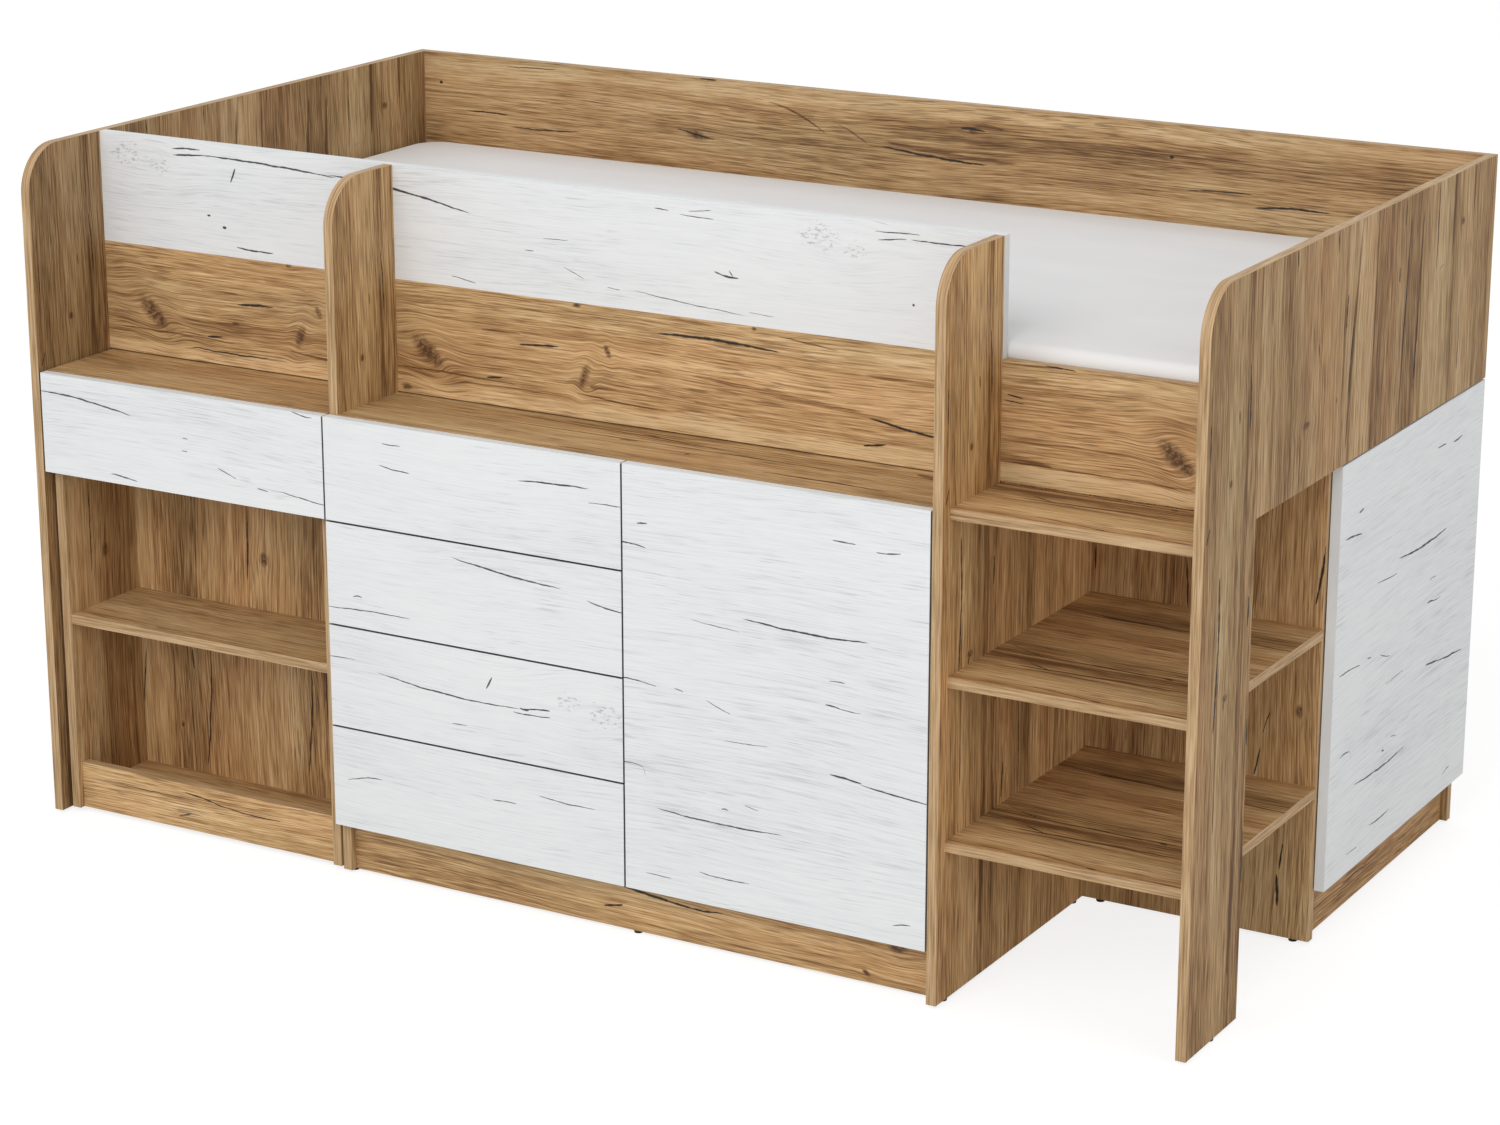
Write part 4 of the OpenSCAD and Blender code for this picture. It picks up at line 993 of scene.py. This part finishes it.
def makeMattress(look):
    low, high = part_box("mattress")
    top = high[2] - look["crown"]
    half = [(high[i] - low[i]) / 2 for i in range(2)]
    middle = [(high[i] + low[i]) / 2 for i in range(2)]
    bpy.ops.object.select_all(action="DESELECT")
    bpy.ops.mesh.primitive_cube_add(size=1.0)
    piece = bpy.context.object
    piece.name = "mattressCover"
    bpy.ops.object.mode_set(mode="EDIT")
    bpy.ops.mesh.select_all(action="SELECT")
    bpy.ops.mesh.subdivide(number_cuts=look["cuts"])
    bpy.ops.transform.resize(value=(half[0] * 2, half[1] * 2, top - low[2]))
    bpy.ops.transform.translate(value=(*middle, (top + low[2]) / 2))

    # how far a point lies outside the four sides, less than 0 inside them
    def outside(point):
        return [abs(point[i] - middle[i]) - half[i] for i in range(2)]

    def ends(edge):
        return [piece.data.vertices[i].co for i in edge.vertices]

    def isCorner(edge):
        return all(abs(part) < look["near"] for point in ends(edge) for part in outside(point))

    # a rim edge is level with the top or bottom and lies on the rounded outline
    def isRim(edge):
        a, b = ends(edge)
        if abs(a.z - b.z) > look["level"] or min(abs(a.z - top), abs(a.z - low[2])) > look["near"]:
            return False
        radius = look["cornerRadius"]
        reach = [math.hypot(*[max(part + radius, 0.0) for part in outside(point)]) for point in (a, b)]
        return min(reach) > radius * look["rimReach"]

    def isInner(point, inset):
        return point.co.z > top - look["near"] and max(outside(point.co)) < -inset

    selectWhere(piece, "EDGE", "edges", isCorner)
    bevel = {"offset_type": "OFFSET", "affect": "EDGES"}
    bpy.ops.mesh.bevel(offset=look["cornerRadius"], segments=look["cornerSteps"], **bevel)
    selectWhere(piece, "EDGE", "edges", isRim)
    bpy.ops.mesh.bevel(offset=look["edgeRadius"], segments=look["edgeSteps"], **bevel)
    for inset, part in look["crownRings"]:
        selectWhere(piece, "VERT", "vertices", lambda point: isInner(point, inset))
        bpy.ops.transform.translate(value=(0.0, 0.0, look["crown"] * part))
    bpy.ops.mesh.select_all(action="SELECT")
    bpy.ops.mesh.remove_doubles(threshold=look["near"])
    bpy.ops.mesh.normals_make_consistent(inside=False)
    bpy.ops.object.mode_set(mode="OBJECT")
    bpy.ops.object.shade_smooth()
    return piece


mattress = makeMattress(mattressLook)
material, tree, shader = newMaterial("mattressTicking")
here = split(tree, addNode(tree, "ShaderNodeTexCoord").outputs["Object"])
weave = stretched(tree, here, mattressLook["weaveScales"], mattressLook["weaveDetail"])
folds = stretched(tree, here, mattressLook["foldScales"])
tree.links.new(ramp(tree, folds, mattressLook["tones"]), shader.inputs["Base Color"])
tree.links.new(remap(tree, weave, *mattressLook["roughness"]), shader.inputs["Roughness"])
shader.inputs["Specular IOR Level"].default_value = mattressLook["specular"]
addBump(tree, shader, weave, mattressLook["bump"])
mattress.data.materials.append(material)
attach(mattress, "bed")
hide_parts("mattress")
print("mattress made")


# floor, light and camera
stageLook = {
    "floorSize": 60.0,
    "floorDiffuse": (0.30, 0.30, 0.30, 1.0),
    "floorGlow": 0.80,
    "floorBounce": (0.75, 0.75, 0.75, 1.0),
    "sky": (1.0, 1.0, 1.0, 1.0),
    "skyStrength": 0.62,
    "aim": (0.0, 0.0, 0.5),
    "lamps": {
        "keyLight": {"place": (0.4, -7.0, 5.6), "size": 7.0, "power": 338.0},
        "fillLight": {"place": (7.0, -1.0, 2.6), "size": 4.0, "power": 76.0},
    },
}
cameraPlan = {
    "place": (2.971, -5.1645, 2.243),
    "pitch": 16.83,
    "yaw": 0.5234,
    "lens": 92.0,
    "sensor": 36.0,
    "farthest": 100.0,
}


def addLamp(name, place, size, power, aim):
    lamp = bpy.data.lights.new(name, "AREA")
    lamp.shape = "DISK"
    lamp.size = size
    lamp.energy = power
    thing = bpy.data.objects.new(name, lamp)
    bpy.context.collection.objects.link(thing)
    thing.location = place
    x, y, z = [place[i] - aim[i] for i in range(3)]
    thing.rotation_euler = (math.atan2(math.hypot(x, y), z), 0.0, math.atan2(x, -y))


# the floor glows evenly for the camera and keeps the shadow; other rays meet a plain grey
bpy.ops.object.select_all(action="DESELECT")
bpy.ops.mesh.primitive_plane_add(size=stageLook["floorSize"])
floor = bpy.context.object
floor.name = "floor"
material, tree, shader = newMaterial("floorFinish")
tree.nodes.remove(shader)
lit = addNode(tree, "ShaderNodeBsdfDiffuse", {"Color": stageLook["floorDiffuse"]})
glow = addNode(tree, "ShaderNodeEmission", {"Strength": stageLook["floorGlow"]})
both = addNode(tree, "ShaderNodeAddShader", {0: lit.outputs[0], 1: glow.outputs[0]})
bounce = addNode(tree, "ShaderNodeBsdfDiffuse", {"Color": stageLook["floorBounce"]})
seen = addNode(tree, "ShaderNodeLightPath").outputs["Is Camera Ray"]
mixed = addNode(tree, "ShaderNodeMixShader", {0: seen, 1: bounce.outputs[0], 2: both.outputs[0]})
tree.links.new(mixed.outputs[0], tree.nodes["Material Output"].inputs["Surface"])
floor.data.materials.append(material)

# the background is white to the camera, to mirrors and through glass, and gives less light elsewhere
world = bpy.data.worlds.new("surroundings")
bpy.context.scene.world = world
world.use_nodes = True
tree = world.node_tree
tree.nodes.clear()
path = addNode(tree, "ShaderNodeLightPath").outputs
white = addNode(tree, "ShaderNodeBackground", {"Color": stageLook["sky"], "Strength": 1.0})
feeds = {"Color": stageLook["sky"], "Strength": stageLook["skyStrength"]}
sky = addNode(tree, "ShaderNodeBackground", feeds)
direct = calc(tree, "MAXIMUM", path["Is Camera Ray"], path["Is Glossy Ray"])
direct = calc(tree, "MAXIMUM", direct, path["Is Transmission Ray"])
mixed = addNode(tree, "ShaderNodeMixShader", {0: direct, 1: sky.outputs[0], 2: white.outputs[0]})
addNode(tree, "ShaderNodeOutputWorld", {"Surface": mixed.outputs[0]})

for name, lamp in stageLook["lamps"].items():
    addLamp(name, aim=stageLook["aim"], **lamp)

camera = bpy.data.objects.new("camera", bpy.data.cameras.new("camera"))
bpy.context.collection.objects.link(camera)
camera.data.lens = cameraPlan["lens"]
camera.data.sensor_width = cameraPlan["sensor"]
camera.data.clip_end = cameraPlan["farthest"]
camera.location = cameraPlan["place"]
camera.rotation_euler = (math.pi / 2 - math.radians(cameraPlan["pitch"]), 0.0, cameraPlan["yaw"])
bpy.context.scene.camera = camera
bpy.context.scene.view_settings.view_transform = "Standard"
print("stage set")
